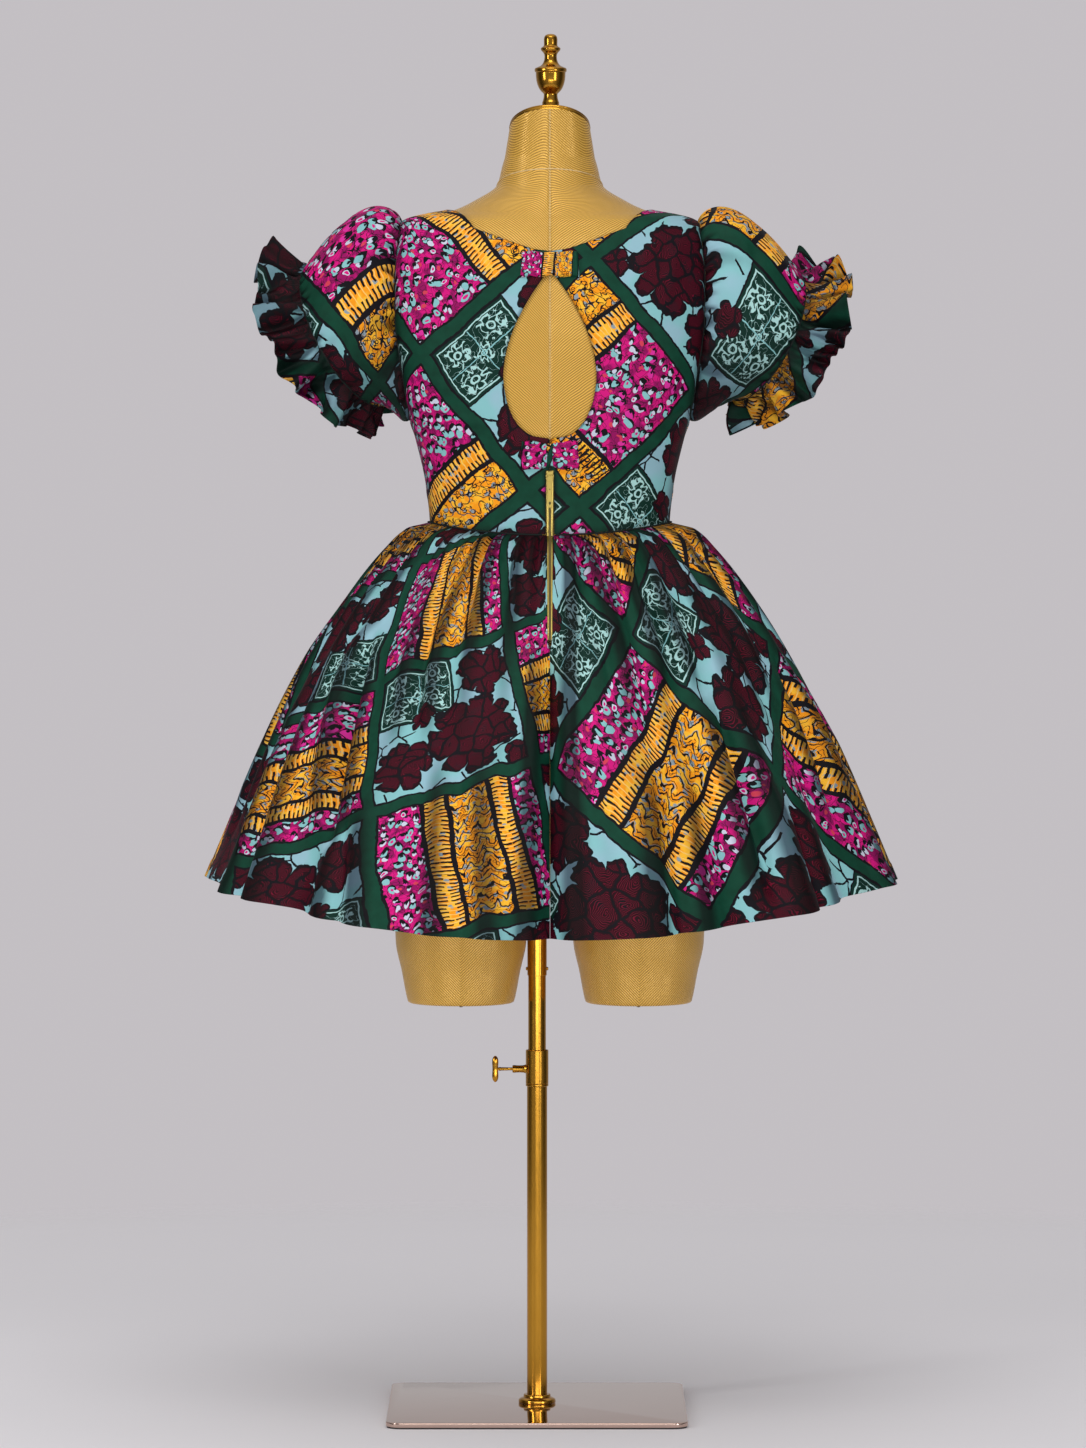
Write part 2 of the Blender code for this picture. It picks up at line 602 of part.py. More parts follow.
# Zip chain: a strip in the slot between the backs, over the waist and into the skirt.
bodice_line = [off_form(0.0, z, -1, MID) for z in np.linspace(ZIP_TOP, 1.0420, 7)]
centre_line = skirt_shape(np.full(60, -np.pi / 2), np.linspace(0.002, 0.40, 60))
centre_line = centre_line[centre_line[:, 2] > ZIP_FOOT]
chain_line = np.array(bodice_line + list(centre_line[::6]))
tangent = np.gradient(chain_line[:, 1:], axis=0)
tangent = tangent / np.linalg.norm(tangent, axis=1, keepdims=True)
outward = np.stack([np.zeros(len(tangent)), tangent[:, 1], -tangent[:, 0]], axis=-1)
across = np.array([-1.0, 1.0])[None, :, None] * np.array([ZIP_HALF, 0.0, 0.0])
chain = chain_line[:, None, :] + across
chain[:, :, 0] = FORM_X + across[0, :, 0]
wall("zip_chain", chain + outward[:, None, :] * 0.0013, chain - outward[:, None, :] * 0.0009,
     GOLD_ZIP)

# Slider on the chain below the lower tab, and its pull tab hanging between the two ears.
PULL_Z = 1.1060


def chain_face(z):
    """Where the slider's underside lies over the chain at height z."""
    return float(off_form(0.0, z, -1, MID + 0.0013 + TOUCH)[1]) - TOUCH


slider_y = chain_face(PULL_Z)
PULL_Y = slider_y - 0.0036
slider_rings = [[(FORM_X - 0.0050, chain_face(z) - 0.0020, z), (FORM_X + 0.0050, chain_face(z) - 0.0020, z),
                 (FORM_X + 0.0050, chain_face(z), z), (FORM_X - 0.0050, chain_face(z), z)]
                for z in (PULL_Z - 0.0085, PULL_Z, PULL_Z + 0.0055)]
slider = loft("zip_slider", slider_rings, GOLD_ZIP)
for side in (-1, 1):
    ear = block("ear", (FORM_X + side * 0.0040 - 0.0007, PULL_Y - 0.0014, PULL_Z - 0.0018),
                (FORM_X + side * 0.0040 + 0.0007, slider_y - 0.0010, PULL_Z + 0.0018), GOLD_ZIP)
    combine(slider, ear, "UNION")
pull = lying("zip_pull", 0.0011, FORM_X - 0.0029, FORM_X + 0.0029, PULL_Y, PULL_Z, GOLD_ZIP, 12)
PULL = table("below half_width", [(0.0003, 0.0027), (0.0060, 0.0026), (0.0180, 0.0024),
                                  (0.0300, 0.0036), (0.0345, 0.0036), (0.0370, 0.0022)])
blade = [[(FORM_X - w, PULL_Y - 0.0006, PULL_Z - d), (FORM_X + w, PULL_Y - 0.0006, PULL_Z - d),
          (FORM_X + w, PULL_Y + 0.0006, PULL_Z - d), (FORM_X - w, PULL_Y + 0.0006, PULL_Z - d)]
         for d, w in zip(*PULL.values())]
combine(pull, loft("blade", blade, GOLD_ZIP), "UNION")

# Puff sleeves. Each starts on the bodice's armhole edge and ends on an oval cuff that faces
# out, down and a little to the front. A ruffle is gathered onto the cuff.
SLEEVES = table("side cuff_x cuff_z high deep lean", [
    (-1, 0.2400, 1.2710, 0.0930, 0.0700, 29.0),
    (1, 0.2530, 1.2710, 0.0840, 0.0680, 27.0),
])
CUFF_FORWARD = math.radians(28)
CUFF_Y = 0.0200
ARM_MIDDLE = 1.2880
SLEEVE_ROWS = np.array([0.0, 0.12, 0.33, 0.60, 0.84, 1.0])


def along(polygon, count):
    """Points spaced evenly along a closed chain of straight edges."""
    chain = np.concatenate([polygon, polygon[:1]])
    run = np.concatenate([[0], np.cumsum(np.linalg.norm(np.diff(chain, axis=0), axis=1))])
    at = np.arange(count) * run[-1] / count
    return np.stack([np.interp(at, run, chain[:, k]) for k in range(3)], axis=-1)


def armhole_edge(side):
    """The bodice's armhole edge, up the back from its lowest point and down the front."""
    back = back_mid[side][back_z[:, -1] >= ARM_BOTTOM - 1e-6][:, -1]
    column = -1 if side > 0 else 0
    front = front_mid[front_z[:, column] >= ARM_BOTTOM - 1e-6][:, column]
    return np.concatenate([back, front[::-1]])


for side, cuff_x, cuff_z, high, deep, lean in zip(*SLEEVES.values()):
    word = "left" if side < 0 else "right"
    lean = math.radians(lean)
    level = np.array([side * math.cos(lean), 0.0, -math.sin(lean)])
    drop_way = np.array([-side * math.sin(lean), 0.0, -math.cos(lean)])
    ahead = np.array([0.0, 1.0, 0.0])
    facing = level * math.cos(CUFF_FORWARD) + ahead * math.sin(CUFF_FORWARD)
    rear = level * math.sin(CUFF_FORWARD) - ahead * math.cos(CUFF_FORWARD)
    centre = np.array([FORM_X + side * cuff_x, CUFF_Y, cuff_z])

    def cuff(beta):
        """Unit directions from the cuff's middle, from its lowest point round by the back."""
        return np.cos(beta)[..., None] * drop_way * high + np.sin(beta)[..., None] * rear * deep

    beta = np.arange(SLEEVE_COLUMNS) * 2 * np.pi / SLEEVE_COLUMNS
    start = along(armhole_edge(side), SLEEVE_COLUMNS)
    inward = np.array([0.0, 0.0, ARM_MIDDLE]) - start
    inward[:, 0] = 0
    inward /= np.linalg.norm(inward, axis=1, keepdims=True)
    start = start + inward * 0.0012 + np.array([side * 0.0016, 0.0, 0.0])
    end = centre + cuff(beta)
    climb = (1 - np.cos(beta)) / 2
    leave = (-inward * (0.02 + 0.18 * climb - 0.04 * climb ** 2)[:, None]
             + np.array([side, 0.0, 0.0]) * (0.03 + 0.07 * climb * (2 - climb))[:, None])
    arrive = facing * (0.03 + 0.04 * climb)[:, None]
    t = SLEEVE_ROWS[:, None, None]
    sleeve = (start * (1 + 2 * t) * (1 - t) ** 2 + leave * t * (1 - t) ** 2
              + end * t * t * (3 - 2 * t) + arrive * t * t * (t - 1))
    out = grid_normals(sleeve, True)
    out *= -np.sign(np.sum(out[3] * (sleeve[3].mean(axis=0) - sleeve[3]), axis=1).mean())
    puff = 0.0028 * np.sin(np.pi * t) ** 0.5 * (np.abs(2 * t - 1) ** 0.7)
    sleeve = sleeve + out * puff * np.cos(10 * beta)[None, :, None]
    wall("sleeve_" + word, sleeve + out * CLOTH / 2, sleeve - out * CLOTH / 2, PRINT, True)

    beta = np.arange(RUFFLE_COLUMNS) * 2 * np.pi / RUFFLE_COLUMNS
    t = np.array([0.0, 0.30, 0.65, 1.0])[:, None, None]
    radial = cuff(beta) / np.linalg.norm(cuff(beta), axis=1, keepdims=True)
    wave = np.cos(RUFFLE_WAVES * beta + 1.1 * np.sin(3 * beta))[None, :, None]
    flare = 0.038 * t ** 1.5 + 0.0085 * t * wave
    forward = 0.0009 + 0.048 * t ** 0.9 - 0.004 * t * wave
    ruffle = centre + cuff(beta) + radial * flare + facing * forward
    out = grid_normals(ruffle, True)
    out *= np.sign(np.sum(out[0] * radial, axis=1).mean())
    wall("sleeve_ruffle_" + word, ruffle + out * RUFFLE_CLOTH / 2,
         ruffle - out * RUFFLE_CLOTH / 2, PRINT, True)
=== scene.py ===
"""Ankara wax print dress on a gold dress form and brass stand.

Metres, +Z up. The origin is the middle of the base's underside, on the stand's tube. The
dress shows its back towards -Y. Left and right are the wearer's, so left is at -X.
"""
import math

import bmesh
import bpy
import numpy as np
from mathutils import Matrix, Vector


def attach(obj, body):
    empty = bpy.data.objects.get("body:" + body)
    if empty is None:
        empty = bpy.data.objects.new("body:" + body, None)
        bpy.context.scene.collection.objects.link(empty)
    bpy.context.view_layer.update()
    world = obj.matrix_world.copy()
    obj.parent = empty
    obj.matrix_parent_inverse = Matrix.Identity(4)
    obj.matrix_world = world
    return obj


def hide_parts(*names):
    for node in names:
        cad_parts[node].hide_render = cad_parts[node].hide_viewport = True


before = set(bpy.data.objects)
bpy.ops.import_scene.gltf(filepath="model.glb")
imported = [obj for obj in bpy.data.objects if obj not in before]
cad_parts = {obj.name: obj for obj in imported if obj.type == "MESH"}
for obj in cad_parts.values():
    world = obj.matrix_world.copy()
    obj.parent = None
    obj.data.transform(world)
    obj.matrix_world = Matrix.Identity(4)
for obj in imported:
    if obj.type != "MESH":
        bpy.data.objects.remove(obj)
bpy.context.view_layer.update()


# Studio: a pale round floor under a grey backdrop of the same tone, and the camera square to
# the back of the dress, a little below the waist and tipped down.
def plain_mesh(name, verts, faces, finish, uv=None, smooth=60, painted_shade=None):
    """Mesh object at the origin from arrays of points, faces and one UV for each corner."""
    mesh = bpy.data.meshes.new(name)
    mesh.from_pydata(np.asarray(verts).tolist(), [], [list(map(int, f)) for f in faces])
    if uv is not None:
        mesh.uv_layers.new(name="cloth").data.foreach_set("uv", np.ravel(uv).astype(np.float32))
    # A point attribute of painted shade, from none to one, which the print's material darkens by.
    if painted_shade is not None:
        mesh.attributes.new("painted_shade", "FLOAT", "POINT").data.foreach_set(
            "value", np.ravel(painted_shade).astype(np.float32))
    mesh.materials.append(finish)
    mesh.shade_smooth()
    mesh.set_sharp_from_angle(angle=math.radians(smooth))
    made = bpy.data.objects.new(name, mesh)
    bpy.context.collection.objects.link(made)
    return made


def new_material(name, **values):
    """New material with plain values on its shader, its node tree and that shader."""
    made = bpy.data.materials.new(name)
    made.use_nodes = True
    shader = made.node_tree.nodes["Principled BSDF"]
    for key, value in values.items():
        shader.inputs[key.replace("_", " ")].default_value = value
    return made, made.node_tree, shader


def feed(tree, node, links):
    """Link sockets to a node's inputs."""
    for key, source in dict(links).items():
        tree.links.new(source, node.inputs[key])


def add(tree, kind, values=(), links=(), **settings):
    """New node in a tree, with its plain values, what it is linked to and its settings."""
    made = tree.nodes.new(kind)
    for key, value in settings.items():
        setattr(made, key, value)
    for key, value in dict(values).items():
        made.inputs[key].default_value = value
    feed(tree, made, links)
    return made


FLOOR_REACH = 2.30
FLOOR_FADE = 0.35
FLOOR_SIDES = 96
angle = np.linspace(0, 2 * np.pi, FLOOR_SIDES, endpoint=False)
disc = np.stack([FLOOR_REACH * np.cos(angle), FLOOR_REACH * np.sin(angle), 0 * angle], axis=-1)
pale, tree, shader = new_material("studio_floor", Roughness=0.75, Specular_IOR_Level=0.2)
place = add(tree, "ShaderNodeTexCoord").outputs["Object"]
cloud = add(tree, "ShaderNodeTexNoise", {"Scale": 1.3}, {"Vector": place})
ramp = add(tree, "ShaderNodeValToRGB", links={"Fac": cloud.outputs["Fac"]})
ramp.color_ramp.elements[0].color = (0.800, 0.785, 0.810, 1)
ramp.color_ramp.elements[1].color = (0.830, 0.812, 0.838, 1)
away = add(tree, "ShaderNodeVectorMath", links={0: place}, operation="LENGTH")
fade = add(tree, "ShaderNodeMapRange", {"From Min": FLOOR_REACH, "From Max": FLOOR_REACH - FLOOR_FADE},
           {"Value": away.outputs["Value"]}, interpolation_type="SMOOTHSTEP")
feed(tree, shader, {"Base Color": ramp.outputs["Color"], "Alpha": fade.outputs["Result"]})
floor = plain_mesh("floor", disc, [range(FLOOR_SIDES)], pale)

# The camera sees an even grey backdrop. The object is lit and mirrored by a room that is
# brightest behind the camera and dim at both sides.
world = bpy.data.worlds.new("studio")
world.use_nodes = True
tree = world.node_tree
backdrop = tree.nodes["Background"]
backdrop.inputs["Color"].default_value = (0.548, 0.523, 0.546, 1)
way = add(tree, "ShaderNodeTexCoord").outputs["Generated"]
ahead = add(tree, "ShaderNodeVectorMath", {1: (0.0, -1.0, 0.12)}, {0: way}, operation="DOT_PRODUCT")
ahead = add(tree, "ShaderNodeMapRange", {"From Min": -1.0, "From Max": 1.0},
            {"Value": ahead.outputs["Value"]})
room = add(tree, "ShaderNodeValToRGB", links={"Fac": ahead.outputs["Result"]})
steps = [(0.0, 0.46), (0.25, 0.26), (0.42, 0.06), (0.56, 0.06), (0.70, 0.15), (0.86, 0.34),
         (1.0, 0.42)]
while len(room.color_ramp.elements) < len(steps):
    room.color_ramp.elements.new(0.5)
for stop, (at, shade) in zip(room.color_ramp.elements, steps):
    stop.position = at
    stop.color = (shade, shade * 0.975, shade * 0.985, 1)
glow = add(tree, "ShaderNodeBackground", {"Strength": 1.0}, {"Color": room.outputs["Color"]})
ray = add(tree, "ShaderNodeLightPath")
above = add(tree, "ShaderNodeVectorMath", {1: (0.0, 0.0, 1.0)}, {0: way}, operation="DOT_PRODUCT")
above = add(tree, "ShaderNodeMapRange", {"From Min": 0.45, "From Max": 0.95, "To Max": 0.72},
            {"Value": above.outputs["Value"]}, interpolation_type="SMOOTHSTEP")
ceiling = add(tree, "ShaderNodeBackground", {"Color": (1.0, 0.985, 1.0, 1)},
              {"Strength": above.outputs["Result"]})
lit = add(tree, "ShaderNodeAddShader", links={0: glow.outputs[0], 1: ceiling.outputs[0]})
mix = add(tree, "ShaderNodeMixShader", links={0: ray.outputs["Is Camera Ray"],
                                              1: lit.outputs[0], 2: backdrop.outputs[0]})
tree.links.new(mix.outputs[0], tree.nodes["World Output"].inputs["Surface"])
bpy.context.scene.world = world
bpy.context.scene.view_settings.view_transform = "Standard"


def soft_light(name, place, aim, size, power):
    """Wide white light at a place, turned to face a point."""
    data = bpy.data.lights.new(name, "AREA")
    data.shape = "RECTANGLE"
    data.size, data.size_y = size
    data.energy = power
    lamp = bpy.data.objects.new(name, data)
    bpy.context.collection.objects.link(lamp)
    lamp.location = place
    lamp.rotation_euler = (Vector(aim) - Vector(place)).to_track_quat("-Z", "Y").to_euler()


soft_light("key", (-3.6, -2.9, 1.7), (0, 0, 0.8), (0.8, 2.2), 62)
soft_light("fill", (2.8, -3.8, 0.9), (0, 0, 0.8), (1.0, 1.6), 34)
soft_light("top", (0.0, -2.2, 3.9), (0, -0.6, 0.0), (2.4, 1.2), 34)
soft_light("low", (0.2, -3.4, 0.35), (0, 0, 0.58), (2.4, 0.4), 19)

CAMERA_PLACE = (0.0070, -8.3000, 1.1600)
CAMERA_LENS = 174.8
CAMERA_DIP = 2.396
camera_data = bpy.data.cameras.new("camera")
camera_data.sensor_fit = "VERTICAL"
camera_data.sensor_height = 36.0
camera_data.lens = CAMERA_LENS
camera = bpy.data.objects.new("camera", camera_data)
bpy.context.collection.objects.link(camera)
camera.location = CAMERA_PLACE
camera.rotation_euler = (math.radians(90 - CAMERA_DIP), 0, 0)
bpy.context.scene.camera = camera

# Base: a square polished plate of pale bronze with round corners and a softened top edge,
# lying on a thin black rubber sheet that keeps it from scratching the floor.
TOUCH = 0.0003
BASE_SIDE = 0.3520
BASE_CORNER = 0.0180
PAD_THICK = 0.0015
PLATE_THICK = 0.0055
PLATE_TOP = PAD_THICK + TOUCH + PLATE_THICK


def metal(name, dark, light, rough, grain=900.0, bump=0.04):
    """Metal whose tone and gloss drift a little over it, with fine marks left by polishing:
    a soft noise mixes the two tones and a stretched fine one roughens and dents it."""
    made, tree, shader = new_material(name, Metallic=1.0)
    place = add(tree, "ShaderNodeTexCoord").outputs["Object"]
    cloud = add(tree, "ShaderNodeTexNoise", {"Scale": 26.0, "Detail": 3.0}, {"Vector": place})
    mix = add(tree, "ShaderNodeMixRGB", {"Color1": (*dark, 1), "Color2": (*light, 1)},
              {"Fac": cloud.outputs["Fac"]})
    stretch = add(tree, "ShaderNodeMapping", {"Scale": (1.0, 1.0, 0.06)}, {"Vector": place})
    marks = add(tree, "ShaderNodeTexNoise", {"Scale": grain, "Detail": 2.0},
                {"Vector": stretch.outputs["Vector"]})
    gloss = add(tree, "ShaderNodeMapRange", {"To Min": rough * 0.75, "To Max": rough * 1.3},
                {"Value": marks.outputs["Fac"]})
    dent = add(tree, "ShaderNodeBump", {"Strength": bump, "Distance": 0.0004},
               {"Height": marks.outputs["Fac"]})
    feed(tree, shader, {"Base Color": mix.outputs["Color"], "Roughness": gloss.outputs["Result"],
                        "Normal": dent.outputs["Normal"]})
    return made


def closed_up(grid):
    """A grid with its first column again at its end."""
    return np.concatenate([grid, grid[:, :1]], axis=1)


def grid_faces(index):
    """The four corners of each face of a grid of point numbers."""
    return np.stack([index[:-1, :-1], index[:-1, 1:], index[1:, 1:], index[1:, :-1]],
                    axis=-1).reshape(-1, 4)


def inside_out(points, faces):
    """Whether faces turn their backs outwards: their solid's volume is then below zero."""
    a, b, c, d = (points[faces[:, k]] - points.mean(axis=0) for k in range(4))
    return np.sum(a * (np.cross(b, c) + np.cross(c, d))) < 0


def loft(name, rings, finish, wrap=False, smooth=35):
    """Solid through rings of points (rings x points x 3). Its first and last ring are closed
    by a flat face, or joined to each other where the profile wraps round."""
    rings = np.asarray(rings, float)
    index = np.arange(rings[..., 0].size).reshape(rings.shape[:2])
    around = closed_up(index)
    if wrap:
        around = np.concatenate([around, around[:1]])
    points, faces = rings.reshape(-1, 3), grid_faces(around)
    way = -1 if inside_out(points, faces) else 1
    faces = faces[:, ::way].tolist()
    if not wrap:
        faces += [index[0, ::-way].tolist(), index[-1, ::way].tolist()]
    return plain_mesh(name, points, faces, finish, smooth=smooth)


def finished(piece, body, slot, *nodes):
    """Say which body a piece rides on, and hide the solids it stands for. The slot, its finish, is not
    used.
    """
    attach(piece, body)
    if nodes:
        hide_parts(*nodes)
    return piece


def rounded_square(half, z):
    """Ring of a square with round corners: a quarter circle at each corner in turn."""
    turn = np.linspace(0, np.pi / 2, 14)[None, :] + np.arange(4)[:, None] * np.pi / 2
    middle = np.arange(4)[:, None] * np.pi / 2 + np.pi / 4
    far = (half - BASE_CORNER) * math.sqrt(2)
    x = far * np.cos(middle) + BASE_CORNER * np.cos(turn)
    y = far * np.sin(middle) + BASE_CORNER * np.sin(turn)
    return np.stack([x, y, np.full_like(x, z)], axis=-1).reshape(-1, 3)


rubber, tree, shader = new_material("black_rubber_sheet", Roughness=0.85)
place = add(tree, "ShaderNodeTexCoord").outputs["Object"]
pores = add(tree, "ShaderNodeTexNoise", {"Scale": 1400.0, "Detail": 2.0}, {"Vector": place})
worn = add(tree, "ShaderNodeValToRGB", links={"Fac": pores.outputs["Fac"]})
worn.color_ramp.elements[0].color = (0.010, 0.010, 0.010, 1)
worn.color_ramp.elements[1].color = (0.024, 0.023, 0.022, 1)
pitted = add(tree, "ShaderNodeBump", {"Strength": 0.3, "Distance": 0.0003},
             {"Height": pores.outputs["Fac"]})
feed(tree, shader, {"Base Color": worn.outputs["Color"], "Normal": pitted.outputs["Normal"]})

bronze = metal("polished_bronze", (0.580, 0.415, 0.355), (0.645, 0.462, 0.392), 0.07, 300.0, 0.01)
half = BASE_SIDE / 2
pad = loft("base_rubber", [rounded_square(half - 0.0016, 0.0),
                           rounded_square(half - 0.0010, 0.0005),
                           rounded_square(half - 0.0010, PAD_THICK)], rubber)
finished(pad, "stand", "rubber", "base_pad")
edge = np.linspace(0, np.pi / 2, 6)
rings = [rounded_square(half - 0.0005, PAD_THICK + TOUCH),
         rounded_square(half, PAD_THICK + TOUCH + 0.0006)]
rings += [rounded_square(half - 0.0012 * (1 - math.cos(t)), PLATE_TOP - 0.0012 * (1 - math.sin(t)))
          for t in edge]
plate = loft("base_bronze", rings, bronze)
finished(plate, "stand", "bronze", "base_plate")

# Stand: a brass tube screwed into a ring on the plate, and a thinner one that slides in it
# and goes up into the form. A collar with a boss takes the T-headed clamp screw.
TUBE_RADIUS = 0.0105
SLEEVE_RADIUS = 0.0120
BORE_RADIUS = 0.0112
TUBE_FOOT = 0.1200
TUBE_TOP = 0.6797
COLLAR_LOW = 0.3835
COLLAR_HIGH = 0.4270
COLLAR_RADIUS = 0.0135
SCREW_HEIGHT = 0.4040
BAR_RADIUS = 0.0038
BAR_HALF_LENGTH = 0.0155
TUBE_FLOOR = 0.0550
FERRULE_LOW = 0.5150
FERRULE_HIGH = 0.6170
FERRULE_RADIUS = 0.0115
RIVET_HEIGHT = 0.5230


def turned(name, profile, finish, centre=(0.0, 0.0), sides=56, wrap=False):
    """Solid turned about an upright axis: each point of the profile, a radius and a height,
    makes one ring."""
    r, z = np.array(profile, float).T[:, :, None]
    angle = np.arange(sides) * 2 * np.pi / sides
    rings = np.stack([centre[0] + r * np.cos(angle), centre[1] + r * np.sin(angle),
                      z + 0 * angle], axis=-1)
    return loft(name, rings, finish, wrap)


def lying(name, profile, finish, y, z, sides=32):
    """Solid turned about a level axis along X: the profile is a radius and a place on X."""
    r, x = np.array(profile, float).T[:, :, None]
    angle = np.arange(sides) * 2 * np.pi / sides
    rings = np.stack([x + 0 * angle, y + r * np.cos(angle), z + r * np.sin(angle)], axis=-1)
    return loft(name, rings, finish)


def join(name, pieces):
    """One piece from several, as one mesh."""
    work = bmesh.new()
    for piece in pieces:
        work.from_mesh(piece.data)
    whole = pieces[0]
    work.to_mesh(whole.data)
    work.free()
    for piece in pieces[1:]:
        bpy.data.objects.remove(piece, do_unlink=True)
    whole.name = name
    whole.data.name = name
    whole.data.set_sharp_from_angle(angle=math.radians(35))
    return whole


brass = metal("turned_brass", (0.425, 0.202, 0.021), (0.525, 0.268, 0.034), 0.17)
flange_low = PLATE_TOP + TOUCH
inside = SLEEVE_RADIUS + 0.0002
ring = turned("foot_ring", [
    (inside, flange_low), (0.0218, flange_low), (0.0220, flange_low + 0.0004),
    (0.0220, flange_low + 0.0032), (0.0214, flange_low + 0.0042), (0.0200, flange_low + 0.0052),
    (0.0180, flange_low + 0.0060), (0.0163, flange_low + 0.0066), (0.0160, flange_low + 0.0074),
    (0.0160, flange_low + 0.0094), (0.0155, flange_low + 0.0100), (inside, flange_low + 0.0100),
], brass, wrap=True)
finished(ring, "stand", "brass", "flange_ring")
lower = turned("lower_brass_tube", [
    (SLEEVE_RADIUS, flange_low), (SLEEVE_RADIUS, COLLAR_LOW - 0.0003),
    (BORE_RADIUS, COLLAR_LOW - 0.0003), (BORE_RADIUS, TUBE_FLOOR), (0.0005, TUBE_FLOOR),
], brass)
finished(lower, "stand", "brass", "lower_tube")

collar = turned("collar", [
    (BORE_RADIUS, COLLAR_LOW), (COLLAR_RADIUS - 0.0008, COLLAR_LOW),
    (COLLAR_RADIUS, COLLAR_LOW + 0.0008), (COLLAR_RADIUS, COLLAR_LOW + 0.0030),
    (COLLAR_RADIUS - 0.0003, COLLAR_LOW + 0.0034), (COLLAR_RADIUS, COLLAR_LOW + 0.0038),
    (COLLAR_RADIUS, COLLAR_HIGH - 0.0008), (COLLAR_RADIUS - 0.0008, COLLAR_HIGH),
    (BORE_RADIUS, COLLAR_HIGH)], brass, wrap=True)
boss = lying("boss", [
    (0.0026, -0.0292), (0.0040, -0.0292), (0.0044, -0.0288), (0.0046, -0.0270), (0.0043, -0.0240),
    (0.0042, -0.0200), (0.0044, -0.0165), (0.0050, -0.0142), (0.0060, -0.0126), (0.0026, -0.0120),
], brass, 0.0, SCREW_HEIGHT)
finished(join("clamp_collar_brass", [collar, boss]), "stand", "brass", "clamp_collar")

thread = np.arange(24) * 0.0007
stem = lying("stem", [(0.0005, -0.0472), (0.0018, -0.0470), (0.0018, -0.0455), (0.0024, -0.0440),
                      (0.0020, -0.0425), (0.0019, -0.0360)]
             + [(0.0019 - 0.00025 * (k % 2), -0.0350 + t) for k, t in enumerate(thread)]
             + [(0.0005, -0.0180)], brass, 0.0, SCREW_HEIGHT, 20)
rise = np.linspace(-1, 1, 21)
bar_reach = BAR_RADIUS * (1 - np.abs(rise) ** 7 * 0.75) * (1 - 0.12 * np.exp(-(rise / 0.35) ** 2))
turn = np.arange(28) * 2 * np.pi / 28
bar_rings = np.stack([-0.0495 + bar_reach[:, None] * np.cos(turn),
                      0.0030 / BAR_RADIUS * bar_reach[:, None] * np.sin(turn),
                      SCREW_HEIGHT + BAR_HALF_LENGTH * rise[:, None] + 0 * turn], axis=-1)
bar = loft("bar", bar_rings, brass, smooth=50)
finished(join("clamp_screw_brass", [stem, bar]), "clamp", "brass", "clamp_screw")

upper = turned("upper_brass_tube", [(0.0005, TUBE_FOOT), (TUBE_RADIUS - 0.0006, TUBE_FOOT),
                                    (TUBE_RADIUS, TUBE_FOOT + 0.0006), (TUBE_RADIUS, TUBE_TOP),
                                    (0.0005, TUBE_TOP)], brass)
cuff = turned("cuff", [(TUBE_RADIUS - 0.0002, FERRULE_LOW), (FERRULE_RADIUS - 0.0003, FERRULE_LOW),
                       (FERRULE_RADIUS, FERRULE_LOW + 0.0004), (FERRULE_RADIUS, FERRULE_HIGH),
                       (TUBE_RADIUS - 0.0002, FERRULE_HIGH)], brass, wrap=True)
heads = [lying("head", [(0.0004, s * 0.0134), (0.0016, s * 0.0132), (0.0021, s * 0.0124),
                        (0.0021, s * 0.0108), (0.0004, s * 0.0106)], brass, 0.0, RIVET_HEIGHT, 16)
         for s in (-1, 1)]
finished(join("mast_brass_tube", [upper, cuff] + heads), "mast", "brass", "upper_tube")

# Dress form: a padded torso with two short thigh stubs, covered in gold ribbed twill whose
# ribs meet in a V at the centre seam. Light piping marks the neck, and the tube goes up into
# a socket between the thighs.
FORM_X = 0.0150
THIGH_X = 0.1050
NECK_TILT = 0.5500
NECK_TOP = 1.5130
NECK_RADIUS = 0.0475
SOCKET_RADIUS = 0.0116
FORM_FOOT = 0.6150
FORM_COLUMNS = 120


def table(names, rows):
    """One array of numbers for each named column."""
    return dict(zip(names.split(), np.array(rows, float).T))


def smooth_curve(x, xs, ys):
    """Curve through the points (xs, ys) that never overshoots them: a cubic between each
    pair, whose slope at a point is the harmonic mean of the slopes beside it."""
    step = np.diff(xs)
    slope = np.diff(ys) / step
    rising = slope[1:] * slope[:-1] > 0
    total = np.where(rising, slope[1:] + slope[:-1], 1.0)
    tangent = np.concatenate(
        ([slope[0]], np.where(rising, 2 * slope[1:] * slope[:-1] / total, 0.0), [slope[-1]]))
    x = np.clip(x, xs[0], xs[-1])
    i = np.clip(np.searchsorted(xs, x, side="right") - 1, 0, len(xs) - 2)
    t = (x - xs[i]) / step[i]
    return (ys[i] * (1 + 2 * t) * (1 - t) ** 2 + tangent[i] * step[i] * t * (1 - t) ** 2
            + ys[i + 1] * t * t * (3 - 2 * t) + tangent[i + 1] * step[i] * t * t * (t - 1))


